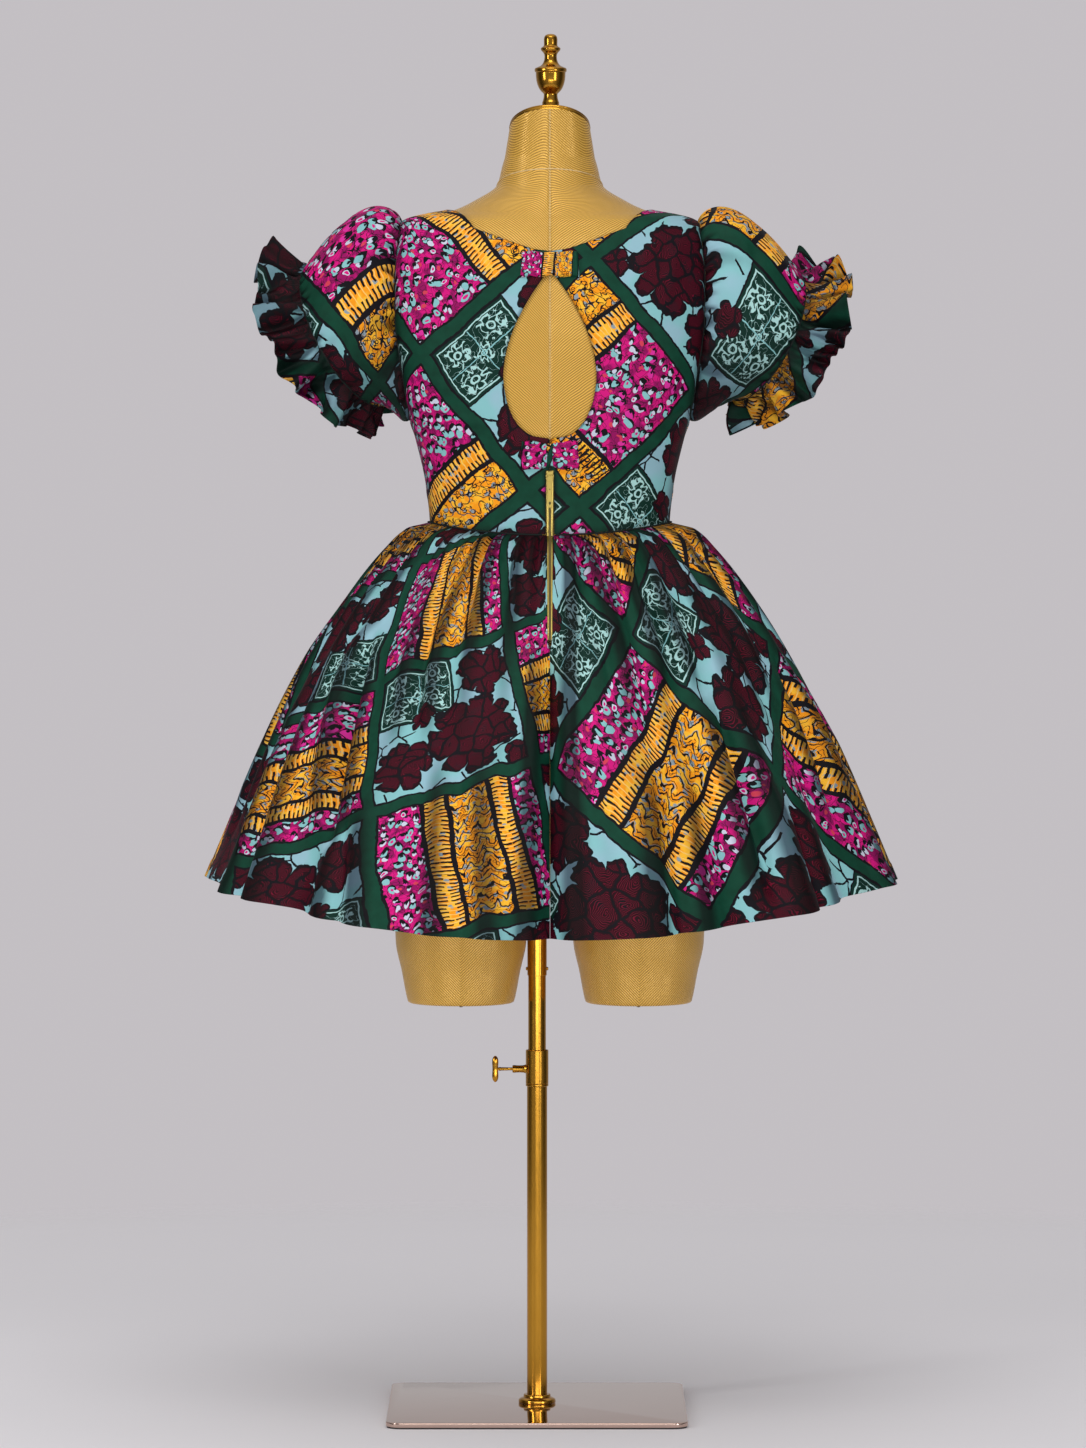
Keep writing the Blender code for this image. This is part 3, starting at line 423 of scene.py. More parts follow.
FORM = table("height half_width front back power", [
    (0.6150, 0.1560, 0.0600, 0.0620, 2.3),
    (0.6300, 0.1720, 0.0780, 0.0820, 2.3),
    (0.6600, 0.1820, 0.0900, 0.0970, 2.3),
    (0.7400, 0.1870, 0.1010, 0.1130, 2.3),
    (0.8400, 0.1860, 0.1080, 0.1190, 2.3),
    (0.9300, 0.1700, 0.1080, 0.1070, 2.3),
    (1.0000, 0.1460, 0.1020, 0.0880, 2.2),
    (1.0440, 0.1380, 0.0990, 0.0830, 2.2),
    (1.0900, 0.1420, 0.1030, 0.0850, 2.2),
    (1.1500, 0.1550, 0.1230, 0.0920, 2.3),
    (1.1730, 0.1620, 0.1310, 0.0950, 2.4),
    (1.2100, 0.1750, 0.1370, 0.0980, 2.4),
    (1.2700, 0.1890, 0.1280, 0.1020, 2.4),
    (1.3300, 0.1940, 0.1040, 0.1000, 2.4),
    (1.3700, 0.1900, 0.0860, 0.0900, 2.4),
    (1.3950, 0.1810, 0.0740, 0.0810, 2.3),
    (1.4050, 0.1680, 0.0680, 0.0760, 2.3),
    (1.4100, 0.1500, 0.0650, 0.0740, 2.2),
    (1.4155, 0.1210, 0.0630, 0.0710, 2.2),
    (1.4300, 0.0880, 0.0610, 0.0660, 2.1),
    (1.4480, 0.0620, 0.0590, 0.0600, 2.0),
    (1.4700, 0.0560, 0.0540, 0.0500, 2.0),
    (1.4800, 0.0530, 0.0500, 0.0460, 2.0),
])


def form_section(z):
    """Half width, front reach, back reach and power of the form at height z."""
    return [smooth_curve(z, FORM["height"], FORM[name])
            for name in ("half_width", "front", "back", "power")]


def oval(angle, power):
    """Unit oval: the cosine and sine of each angle, both raised to 2/power with their sign."""
    c, s = np.cos(angle), np.sin(angle)
    return (np.sign(c) * np.abs(c) ** (2 / power), np.sign(s) * np.abs(s) ** (2 / power))


def skin(name, grid, uv, finish):
    """Closed solid through rings that each end where they began, with a UV for each point of
    the grid. Its UVs run on over the join, so a pattern isn't squeezed there."""
    rows, spans = grid.shape[0], grid.shape[1] - 1
    index = closed_up(np.arange(rows * spans).reshape(rows, spans))
    faces, corners = grid_faces(index), grid_faces(np.arange(uv[..., 0].size).reshape(rows, -1))
    points = grid[:, :-1].reshape(-1, 3)
    way = -1 if inside_out(points, faces) else 1
    lists, uvs = faces[:, ::way].tolist(), uv.reshape(-1, 2)[corners[:, ::way].ravel()]
    for row, turn in ((0, -way), (-1, way)):
        lists.append(index[row, :-1][::turn].tolist())
        uvs = np.concatenate([uvs, uv[row, :-1][::turn]])
    return plain_mesh(name, points, lists, finish, uvs)


def run_along(points, axis):
    """Distance run along each line of a grid, from its first point."""
    step = np.linalg.norm(np.diff(points, axis=axis), axis=-1)
    return np.concatenate([np.zeros_like(np.take(step, [0], axis=axis)),
                           np.cumsum(step, axis=axis)], axis=axis)


def uv_grid(u, v):
    """One UV for each point of a grid, from its two parts."""
    return np.stack(np.broadcast_arrays(u, v), axis=-1)


# The ring of angles starts and ends at the front, so that the back's seam is its middle.
turn = np.linspace(np.pi / 2, -3 * np.pi / 2, FORM_COLUMNS + 1)[None, :]
heights = np.unique(np.concatenate([
    np.linspace(FORM_FOOT, 0.66, 14), np.linspace(0.66, 1.38, 110), np.linspace(1.38, 1.48, 70),
]))[:, None]
width, front, back, power = form_section(heights)
c, s = oval(turn, power)
torso = np.stack([FORM_X + width * c, np.where(s > 0, front, back) * s, heights + 0 * s], axis=-1)
neck_y = NECK_RADIUS * np.sin(turn[0]) / math.hypot(1, NECK_TILT)
neck_edge = np.stack([FORM_X + NECK_RADIUS * np.cos(turn[0]), neck_y,
                      NECK_TOP - NECK_TILT * neck_y], axis=-1)
t = np.linspace(0, 1, 13)[1:, None, None]
neck = torso[-1] * (1 - t) + neck_edge * t
socket_top, socket_mouth = (
    np.stack([SOCKET_RADIUS * np.cos(turn[0]), SOCKET_RADIUS * np.sin(turn[0]), z + 0 * turn[0]],
             axis=-1) for z in (TUBE_TOP + 0.004, FORM_FOOT))
torso = np.concatenate([[socket_top, socket_mouth], torso, neck])
around = run_along(torso, 1)
uv = uv_grid(around - around[:, -1:] / 2, run_along(torso, 0) * 0.5 + torso[:, :, 2] * 0.5)

cover, tree, shader = new_material("gold_ribbed_twill", Metallic=0.22, Sheen_Weight=0.15,
                                   Sheen_Roughness=0.4)
place = add(tree, "ShaderNodeUVMap", uv_map="cloth").outputs["UV"]
split = add(tree, "ShaderNodeSeparateXYZ", links={"Vector": place})


class Num:
    """A number that nodes work out. Sums, products and comparisons of these add Math nodes."""

    def __init__(self, tree, socket):
        self.tree, self.socket = tree, socket

    def math(self, kind, *others):
        """What a Math node of this kind makes of it and other numbers."""
        made = self.tree.nodes.new("ShaderNodeMath")
        made.operation = kind
        for slot, value in enumerate((self, *others)):
            if isinstance(value, Num):
                self.tree.links.new(value.socket, made.inputs[slot])
            else:
                made.inputs[slot].default_value = value
        return Num(self.tree, made.outputs[0])

    def __add__(self, other):
        return self.math("ADD", other)

    def __sub__(self, other):
        return self.math("SUBTRACT", other)

    def __mul__(self, other):
        return self.math("MULTIPLY", other)

    def __truediv__(self, other):
        return self.math("DIVIDE", other)

    def __lt__(self, other):
        return self.math("LESS_THAN", other)

    def __gt__(self, other):
        return self.math("GREATER_THAN", other)

    def flip(self):
        """One less this number."""
        return self.math("MULTIPLY_ADD", -1.0, 1.0)

    def step(self, low, high):
        """0 below low, 1 above high, and even between them."""
        made = add(self.tree, "ShaderNodeMapRange", {"From Min": low, "From Max": high},
                   {"Value": self.socket})
        return Num(self.tree, made.outputs["Result"])


def blend_colours(tree, share, first, second):
    """Colour that goes from the first to the second as share goes from 0 to 1."""
    made = tree.nodes.new("ShaderNodeMixRGB")
    for key, value in (("Fac", share), ("Color1", first), ("Color2", second)):
        if isinstance(value, Num):
            tree.links.new(value.socket, made.inputs[key])
        elif isinstance(value, tuple):
            made.inputs[key].default_value = (*value, 1)
        else:
            tree.links.new(value, made.inputs[key])
    return made.outputs["Color"]


def surface_bump(tree, height, strength, distance, normal=None):
    """Normal that a height raises, on top of another normal if there is one."""
    made = add(tree, "ShaderNodeBump", {"Strength": strength, "Distance": distance},
               {"Height": height.socket})
    if normal is not None:
        tree.links.new(normal, made.inputs["Normal"])
    return made.outputs["Normal"]


def soft_noise(tree, place, scale, detail):
    """Noise at a place, about a half."""
    return Num(tree, add(tree, "ShaderNodeTexNoise", {"Scale": scale, "Detail": detail},
                         {"Vector": place}).outputs["Fac"])


u, v = Num(tree, split.outputs["X"]), Num(tree, split.outputs["Y"])
warp = soft_noise(tree, place, 30.0, 2.0)
from_seam = u.math("ABSOLUTE")
# A rib every 2.3 mm square to its run, falling towards the seam on both sides.
rib = ((from_seam * 0.70 - v * 0.71) / 0.00230 + warp * 1.5).math("FRACT")
rib = (rib - 0.5).math("ABSOLUTE") * 2
worn = soft_noise(tree, place, 55.0, 4.0)
# The thighs' cloth lies below zero on the UVs, where no seam is stitched.
THIGH_UV_DROP = 3.0
sewn = v > 0.0
seam = (from_seam < 0.0010) * sewn
stitch = ((v / 0.0037).math("FRACT") - 0.5).math("ABSOLUTE").step(0.42, 0.30)
thread = seam * stitch
tone = blend_colours(tree, rib.step(0.10, 0.85), (0.330, 0.160, 0.014), (0.880, 0.520, 0.095))
tone = blend_colours(tree, worn.step(0.3, 0.7) * 0.25, tone, (0.640, 0.360, 0.048))
groove = from_seam.step(0.0028, 0.0012) * sewn
tone = blend_colours(tree, groove * 0.35, tone, (0.400, 0.210, 0.035))
tone = blend_colours(tree, thread * 0.35, tone, (0.930, 0.740, 0.380))
relief = rib * 0.60 + worn * 0.12 + thread * 0.8 - groove * 0.7
feed(tree, shader, {"Base Color": tone, "Roughness": (rib * -0.06 + 0.38).socket,
                    "Normal": surface_bump(tree, relief, 0.8, 0.0007)})

finished(skin("form_cover", torso, uv, cover), "form", "form_cover", "form_torso")

THIGH = table("height half_width front back", [
    (0.4830, 0.0600, 0.0590, 0.0590), (0.4842, 0.0625, 0.0615, 0.0615),
    (0.4875, 0.0637, 0.0627, 0.0627), (0.5200, 0.0700, 0.0690, 0.0690),
    (0.5550, 0.0772, 0.0760, 0.0780), (0.6000, 0.0785, 0.0830, 0.0870),
    (0.6700, 0.0700, 0.0780, 0.0830),
])
heights = np.concatenate([[0.4830, 0.4835, 0.4842, 0.4856, 0.4875], np.linspace(0.492, 0.67, 24)])
turn = np.linspace(np.pi / 2, -3 * np.pi / 2, 81)[None, :]
for side, word in ((-1, "left"), (1, "right")):
    width, front, back = (smooth_curve(heights[:, None], THIGH["height"], THIGH[n])
                          for n in ("half_width", "front", "back"))
    stub = np.stack([FORM_X + side * THIGH_X + width * np.cos(turn),
                     np.where(np.sin(turn) > 0, front, back) * np.sin(turn),
                     heights[:, None] + 0 * turn], axis=-1)
    around = run_along(stub, 1)
    uv = uv_grid(around - around[:, -1:] / 2, stub[:, :, 2] - THIGH_UV_DROP)
    finished(skin("form_thigh_" + word, stub, uv, cover), "form", "form_cover")
    plug = turned("thigh_plug_" + word, [
        (0.0004, 0.4772), (0.0018, 0.4774), (0.0022, 0.4782), (0.0022, 0.4810), (0.0040, 0.4822),
        (0.0040, 0.4829), (0.0004, 0.4829)], rubber, (FORM_X + side * THIGH_X, 0.0), 24)
    finished(plug, "form", "rubber")


def two_tone(name, dark, light, height, kind, pattern, settings=(), **values):
    """Finish of two tones, which a fine pattern of a kind mixes and raises."""
    made, tree, shader = new_material(name, **values)
    place = add(tree, "ShaderNodeTexCoord").outputs["Object"]
    fine = add(tree, kind, pattern, {"Vector": place}, **dict(settings)).outputs["Fac"]
    feed(tree, shader, {"Base Color": blend_colours(tree, Num(tree, fine), dark, light),
                        "Normal": surface_bump(tree, Num(tree, fine), 0.4, height)})
    return made


CORD_SIDES = 8


def cord_round(name, path, radius, finish, closed=True):
    """Round cord along a path of points: a small circle square to the path at each one."""
    if closed:
        way = np.roll(path, -1, axis=0) - np.roll(path, 1, axis=0)
    else:
        way = np.gradient(path, axis=0)
    way /= np.linalg.norm(way, axis=1, keepdims=True)
    up = np.array([0.0, 0.0, 1.0]) - way * way[:, 2:]
    up /= np.maximum(np.linalg.norm(up, axis=1, keepdims=True), 1e-6)
    aside = np.cross(way, up)
    turn = np.arange(CORD_SIDES) * 2 * np.pi / CORD_SIDES
    rings = (path[:, None, :] + radius * np.cos(turn)[None, :, None] * aside[:, None, :]
             + radius * np.sin(turn)[None, :, None] * up[:, None, :])
    return loft(name, rings, finish, wrap=closed, smooth=80)


# Piping round the neck, on a plane that falls towards the front. Its height and its place on
# the form depend on each other, so both are worked out in turn until they settle.
PIPING_HEIGHT = 1.4490
PIPING_TILT = 0.3100
piping = two_tone("pale_gold_piping", (0.620, 0.410, 0.150), (0.860, 0.680, 0.360), 0.0003,
                  "ShaderNodeTexWave", {"Scale": 260.0, "Distortion": 1.5},
                  Roughness=0.42, Metallic=0.30)
turn = np.linspace(0, 2 * np.pi, 120, endpoint=False)
z = np.full(120, PIPING_HEIGHT)
for _ in range(12):
    width, front, back, power = form_section(z)
    c, s = oval(turn, power)
    y = np.where(s > 0, front, back) * s
    z = PIPING_HEIGHT - PIPING_TILT * y
path = np.stack([FORM_X + (width + 0.0001) * c, y * 1.002, z], axis=-1)
finished(cord_round("neck_piping", path, 0.00075, piping), "form", "form_cover")

# Neck plate and finial: turned and polished brass, the plate flat on the slanted neck and the
# finial upright on it, an urn with a knop.
slant = math.hypot(1, NECK_TILT)
turn = np.arange(72) * 2 * np.pi / 72


def plate_ring(radius, lift):
    """Ring of the neck plate: a circle in the slanted plane, lifted square to it."""
    y = radius * np.sin(turn) / slant
    return np.stack([FORM_X + radius * np.cos(turn), y + lift * NECK_TILT / slant,
                     NECK_TOP - NECK_TILT * y + lift / slant], axis=-1)


plate_profile = [(0.0440, 0.0003), (0.0474, 0.0003), (0.0478, 0.0008), (0.0479, 0.0024),
                 (0.0476, 0.0032), (0.0470, 0.0035), (0.0470, 0.0041), (0.0474, 0.0046),
                 (0.0472, 0.0056), (0.0464, 0.0064), (0.0450, 0.0069), (0.0420, 0.0071),
                 (0.0200, 0.0072), (0.0006, 0.0072)]
cap = loft("neck_plate", [plate_ring(r, h) for r, h in plate_profile], brass)
finished(cap, "form", "brass", "neck_cap")
FINIAL = np.array([
    (0.0100, 1.5450), (0.0090, 1.5475), (0.0083, 1.5505), (0.0080, 1.5535), (0.0081, 1.5550),
    (0.0092, 1.5562), (0.0112, 1.5580), (0.0136, 1.5612), (0.0156, 1.5658), (0.0168, 1.5705),
    (0.0174, 1.5760), (0.0175, 1.5803), (0.0186, 1.5810), (0.0189, 1.5822), (0.0189, 1.5840),
    (0.0183, 1.5852), (0.0172, 1.5858), (0.0158, 1.5860), (0.0152, 1.5866), (0.0125, 1.5876),
    (0.0102, 1.5895), (0.0086, 1.5920), (0.0076, 1.5950), (0.0072, 1.5985), (0.0074, 1.6010),
    (0.0084, 1.6030), (0.0098, 1.6046), (0.0108, 1.6056), (0.0114, 1.6068), (0.0118, 1.6080),
    (0.0112, 1.6092), (0.0096, 1.6102), (0.0086, 1.6110), (0.0080, 1.6118), (0.0079, 1.6130),
    (0.0080, 1.6160), (0.0080, 1.6195), (0.0074, 1.6222), (0.0060, 1.6240), (0.0038, 1.6251),
    (0.0010, 1.6255)])
FINIAL_X = FORM_X + 0.0010
t = np.linspace(0, len(FINIAL) - 1, 130)
finial_profile = np.stack([np.interp(t, np.arange(len(FINIAL)), FINIAL[:, k]) for k in (0, 1)], -1)
foot_high = NECK_TOP + (0.0072 + TOUCH) * slant
slanted = [(0.0128, foot_high, NECK_TILT), (0.0132, foot_high + 0.0006, NECK_TILT),
           (0.0128, foot_high + 0.0014, NECK_TILT), (0.0112, foot_high + 0.0022, NECK_TILT),
           (0.0102, foot_high + 0.0040, NECK_TILT)]
rings = [np.stack([FINIAL_X + r * np.cos(turn), r * np.sin(turn), z - tilt * r * np.sin(turn)], axis=-1)
         for r, z, tilt in slanted + [(r, z, 0.0) for r, z in finial_profile]]
urn = loft("neck_urn", rings, brass, smooth=50)
finished(urn, "form", "brass", "neck_finial")

# The dress's cloth is crisp cotton with a wax print like patchwork: green bands edged in black
# cross in a lattice, and its fields are magenta with pebbles, orange with combs and chevrons,
# and pale aqua with burgundy blossoms and green framed corners. It reads UVs in metres.
CELL = 0.2070
BAND_EDGE = 0.0100
BAND_GREEN = 0.0072
LINE = 0.0027
TOOTH = 0.0056
# Cells to a metre: the pebbles, and the lobes of the blossoms.
PEBBLES = 92.0
LOBES = 46.0
BLACK = (0.004, 0.003, 0.006)
GREEN = (0.0015, 0.034, 0.018)
LEAF = (0.003, 0.062, 0.034)
DEEP_GREEN = (0.0018, 0.026, 0.018)
MAGENTA = (0.650, 0.006, 0.200)
PLUM = (0.300, 0.003, 0.110)
ROSE = (0.700, 0.030, 0.330)
RED = (0.640, 0.050, 0.090)
LILAC = (0.560, 0.600, 0.720)
AQUA = (0.235, 0.520, 0.540)
HAZE = (0.290, 0.500, 0.580)
PALE = (0.400, 0.660, 0.640)
ORANGE = (0.920, 0.325, 0.008)
AMBER = (0.960, 0.500, 0.032)
STRAW = (0.900, 0.560, 0.150)
SLATE = (0.260, 0.330, 0.380)
BURGUNDY = (0.017, 0.0006, 0.0040)
CRIMSON = (0.160, 0.002, 0.020)


def wax_print():
    """The print as a node group: a place on the cloth in metres goes in, a colour comes out.
    Distances a and b are across a cell of the lattice, each from one of its sides."""
    tree = bpy.data.node_groups.new("wax_print", "ShaderNodeTree")
    tree.interface.new_socket("Place", in_out="INPUT", socket_type="NodeSocketVector")
    tree.interface.new_socket("Colour", in_out="OUTPUT", socket_type="NodeSocketColor")
    source = tree.nodes.new("NodeGroupInput").outputs["Place"]

    def paint(share, under, over):
        """Colour that goes from what is under to what is over as share goes from 0 to 1."""
        return blend_colours(tree, share, under, over)

    def noise(scale, detail=1.0, vector=None, output="Fac"):
        """Noise about a half on the cloth, or on another vector."""
        made = add(tree, "ShaderNodeTexNoise", {"Scale": scale, "Detail": detail},
                   {"Vector": vector or source}, noise_dimensions="2D")
        return Num(tree, made.outputs[output])

    def cells(scale, vector, **settings):
        """Cells of unlike shapes: the node, and the distance to the nearest cell's middle."""
        made = add(tree, "ShaderNodeTexVoronoi", {"Scale": scale}, {"Vector": vector},
                   voronoi_dimensions="2D", **settings)
        return made, Num(tree, made.outputs["Distance"])

    def shift(vector, scale, reach):
        """A vector moved about by soft noise, as far as reach."""
        drift = add(tree, "ShaderNodeVectorMath", {1: (0.5, 0.5, 0.5)},
                    {0: noise(scale, 1.0, vector, "Color").socket}, operation="SUBTRACT")
        drift = add(tree, "ShaderNodeVectorMath", {"Scale": reach * 2},
                    {0: drift.outputs[0]}, operation="SCALE")
        return add(tree, "ShaderNodeVectorMath", links={0: vector, 1: drift.outputs[0]},
                   operation="ADD").outputs[0]

    drawn = shift(shift(source, 16.0, 0.0055), 130.0, 0.0011)
    parts = add(tree, "ShaderNodeSeparateXYZ", links={"Vector": drawn})
    u, v = Num(tree, parts.outputs["X"]), Num(tree, parts.outputs["Y"])
    p, q = (u - v) * 0.70711 / CELL, (u + v) * 0.70711 / CELL
    i, j = p.math("FLOOR"), q.math("FLOOR")
    a, b = (p - i) * CELL, (q - j) * CELL
    odd_row = j.math("MODULO", 2.0).math("ABSOLUTE")
    patched = (i + j).math("MODULO", 2.0).math("ABSOLUTE")
    other = i > 1.5

    def either(mask, yes, no):
        """One number where the mask is one, the other where it is zero."""
        return mask * (yes - no) + no

    def within(value, low, high):
        """One between two numbers, zero elsewhere."""
        return (value > low) * (value < high)

    # Fields in strips: x is across the strips and y along them.
    x, y = either(odd_row, a, b), either(odd_row, b, a)
    grain = shift(drawn, 75.0, 0.0040)
    lower = add(tree, "ShaderNodeVectorMath", {1: (0.0017, -0.0021, 0.0)}, {0: grain},
                operation="ADD").outputs[0]
    stones, far = cells(PEBBLES, grain)
    far_below = cells(PEBBLES, lower)[1]
    chance = add(tree, "ShaderNodeSeparateColor", links={"Color": stones.outputs["Color"]})
    first, second = Num(tree, chance.outputs[0]), Num(tree, chance.outputs[1])
    pebble = first > 0.12
    size = second * 0.20 + 0.22
    wriggle = (noise(150.0, 0.0) - 0.5).math("ABSOLUTE")
    ground = paint(noise(65.0).step(0.47, 0.56), MAGENTA, PLUM)
    curl = (noise(88.0, 0.0, grain) - 0.5).math("ABSOLUTE")
    tone = paint((wriggle < 0.022) + (curl < 0.016), ground, BLACK)
    tone = paint(pebble * (far_below < size + 0.09), tone, BLACK)
    stone = paint(second.step(0.50, 0.55), LILAC, AQUA)
    stone = paint(first > 0.90, stone, ROSE)
    tone = paint(pebble * (far < size), tone, stone)
    tone = paint((first > 0.50) * (far_below < 0.16), tone, BLACK)
    tone = paint(within(first, 0.30, 0.50) * (far < 0.15), tone, MAGENTA)
    strips = paint(pebble.flip() * (far < 0.20), tone, RED)

    row = (y / 0.0130 + ((x / 0.0180).math("FRACT") - 0.5).math("ABSOLUTE") * 1.7
           + noise(70.0) * 1.5).math("FRACT")
    worn = noise(75.0, 2.0)
    ochre = paint(worn.step(0.46, 0.58), ORANGE, AMBER)
    ochre = paint((far < 0.22) * (second > 0.45), ochre, SLATE)
    hooks = within(far, 0.24, 0.37) * (far_below > 0.33)
    scales = paint(hooks + (curl < 0.034), ochre, BLACK)
    scales = paint(within(curl, 0.034, 0.048) * (second > 0.5), scales, SLATE)
    scales = paint(within(far_below, 0.10, 0.19) * (first > 0.5), scales, BLACK)
    chevrons = paint(within(row, 0.52, 0.62) * (worn > 0.47), ochre, SLATE)
    chevrons = paint(within(row, 0.28, 0.50), chevrons, BLACK)
    chevrons = paint(within(row, 0.76, 0.86) * (worn < 0.50), chevrons, BLACK)
    scales = paint(other, scales, chevrons)
    scales = paint((wriggle < 0.026) * (first > 0.3), scales, BLACK)

    low, high = either(other, 0.0640, 0.1180), either(other, 0.0920, 0.1490)
    low_two, high_two = 0.1430, 0.1680
    tooth = (y / TOOTH + noise(45.0) * 0.5).math("FRACT")
    tip = Num(tree, add(tree, "ShaderNodeTexWhiteNoise", links={
        "W": (y / TOOTH).math("FLOOR").socket}, noise_dimensions="1D").outputs["Value"])

    def comb(start, end):
        """Bars across a strip from both its edges, each of its own length."""
        middle, half = (start + end) * 0.5, (end - start) * 0.5
        out = (x - middle).math("ABSOLUTE") / half
        reach = (out > tip * 0.55) + (x > middle) * (tip > 0.7)
        return within(tooth, 0.30, 0.70) * reach.math("MINIMUM", 1.0)

    def strip(under, start, end, colour):
        """Lay a strip from start to end, with a black line along its first edge."""
        laid = paint(within(x, start, end), under, colour)
        return paint(within(x, start - LINE, start + LINE), laid, BLACK)

    combs = paint(within(tooth, 0.0, 0.20), ochre, STRAW)
    comb_one = paint(comb(low, high), combs, BLACK)
    comb_two = paint(comb(low_two, high_two), combs, BLACK)
    strips = strip(strips, low, high, comb_one)
    strips = strip(strips, high, either(other, 0.1430, 0.2200), scales)
    with_two = strip(strips, low_two, high_two, comb_two)
    with_two = paint(within(x, high_two - LINE, high_two + LINE), with_two, BLACK)
    strips = paint(other, strips, with_two)

    # One field has an orange strip along its far end too.
    end_strip = CELL - 0.060
    end = within(i, 0.5, 1.5) * within(j, -0.5, 0.5) * (x < low - LINE)
    bars = ((x / TOOTH + noise(45.0) * 0.5).math("FRACT") - 0.5).math("ABSOLUTE") < 0.2
    barred = paint(bars * within(y, end_strip + 0.004, end_strip + 0.024), scales, BLACK)
    strips = paint(end * (y > end_strip), strips, barred)
    strips = paint(end * within(y, end_strip - LINE, end_strip + LINE), strips, BLACK)

    # Fields of aqua: a green framed corner, cracks, and lobed blossoms.
    def turned_over(value, middle):
        """The value, run from its other end in every second row of cells."""
        return either(odd_row, value * -1 + middle, value)

    flip_a, flip_b = turned_over(a, CELL), turned_over(b, CELL)
    crack = cells(24.0, drawn, feature="DISTANCE_TO_EDGE")[1]
    field = paint(noise(22.0).step(0.42, 0.60), AQUA, HAZE)
    field = paint((crack < 0.028) * (noise(30.0) > 0.46), field, BLACK)

    low_edge, high_a, high_b = 0.0105, 0.0865, 0.1165
    inner_a = (flip_a * -1 + high_a).math("MINIMUM", flip_a - low_edge)
    inner_b = (flip_b * -1 + high_b).math("MINIMUM", flip_b - low_edge)
    inset = inner_a.math("MINIMUM", inner_b)
    field = paint(inset > -0.0016, field, BLACK)
    field = paint(inset > 0.0, field, DEEP_GREEN)
    mid_a, mid_b = flip_a - (low_edge + high_a) / 2, flip_b - (low_edge + high_b) / 2
    half_a, half_b = (high_a - low_edge) / 4, (high_b - low_edge) / 4
    corner_a, corner_b = mid_a.math("ABSOLUTE") - half_a, mid_b.math("ABSOLUTE") - half_b
    central = (mid_a * mid_a + mid_b * mid_b) < 0.0135 ** 2
    ga, gb = either(central, mid_a, corner_a), either(central, mid_b, corner_b)
    r = (ga * ga + gb * gb).math("SQRT") / either(central, 0.0135, 0.0190)
    shake = noise(60.0)
    wave = (gb.math("ARCTAN2", ga) * 6.0 + shake * 14).math("COSINE")
    fine = noise(230.0, 1.0)
    petal = (r - wave * 0.13 - shake * 0.3 - 0.42).math("ABSOLUTE") < fine * 0.11 + 0.02
    heart = (r - 0.22).math("ABSOLUTE") < 0.06
    spikes = within(r, 0.62, 0.94) * (wave > 0.55) * (fine > 0.43)
    squiggle = (noise(125.0, 0.0) - 0.5).math("ABSOLUTE") < 0.008
    sketch = (petal + heart + spikes + squiggle).math("MINIMUM", 1.0)
    field = paint(sketch * (inset > 0.0055), field, PALE)
    cross = (mid_a.math("ABSOLUTE") < 0.0006).math("MAXIMUM", mid_b.math("ABSOLUTE") < 0.0006)
    field = paint(cross * (inset > 0.0055), field, AQUA)
    field = paint(within(inset, 0.0030, 0.0045), field, PALE)

    soft = shift(drawn, 34.0, 0.0075)
    lobe = cells(LOBES, soft)[1]
    rim = cells(LOBES, soft, feature="DISTANCE_TO_EDGE")[1]
    ragged, sway = noise(95.0) * 0.22 - 0.11, noise(14.0) * 5.0
    bloom = 0.0
    for centre_a, centre_b, reach, lobes in (
            (0.136, 0.134, 0.060, 3.5), (0.152, 0.044, 0.040, 3.0), (0.048, 0.164, 0.040, 2.5),
            (0.088, 0.074, 0.018, 2.5), (0.188, 0.190, 0.020, 2.0)):
        da, db = flip_a - centre_a, flip_b - centre_b
        scallop = (db.math("ARCTAN2", da) * lobes + sway).math("COSINE").math("ABSOLUTE")
        edge = scallop.math("SQRT") * 0.34 + ragged + 0.66
        inside = ((da * da + db * db).math("SQRT") / reach / edge) * -1 + 1
        bloom = inside.math("MAXIMUM", bloom)
    field = paint(bloom > 0.0, field, BLACK)
    petal = (bloom > 0.055) * (rim > 0.045) * (noise(48.0) > 0.38)
    field = paint(petal, field, BURGUNDY)
    rings = (lobe * 13.0 + noise(85.0) * 4.5).math("FRACT")
    rings = within(rings, 0.0, 0.26) * (bloom > 0.12) * (rim > 0.09)
    field = paint(rings, field, CRIMSON)

    # Lattice over both kinds of field.
    colour = paint(patched, field, strips)
    side_a = (a - CELL / 2).math("ABSOLUTE") * -1 + CELL / 2
    side_b = (b - CELL / 2).math("ABSOLUTE") * -1 + CELL / 2
    side = side_a.math("MINIMUM", side_b)
    colour = paint(side < BAND_EDGE, colour, BLACK)
    band = paint(noise(70.0, 2.0), GREEN, LEAF)
    colour = paint(side < BAND_GREEN, colour, band)
    done = tree.nodes.new("NodeGroupOutput")
    tree.links.new(colour, done.inputs["Colour"])
    return tree


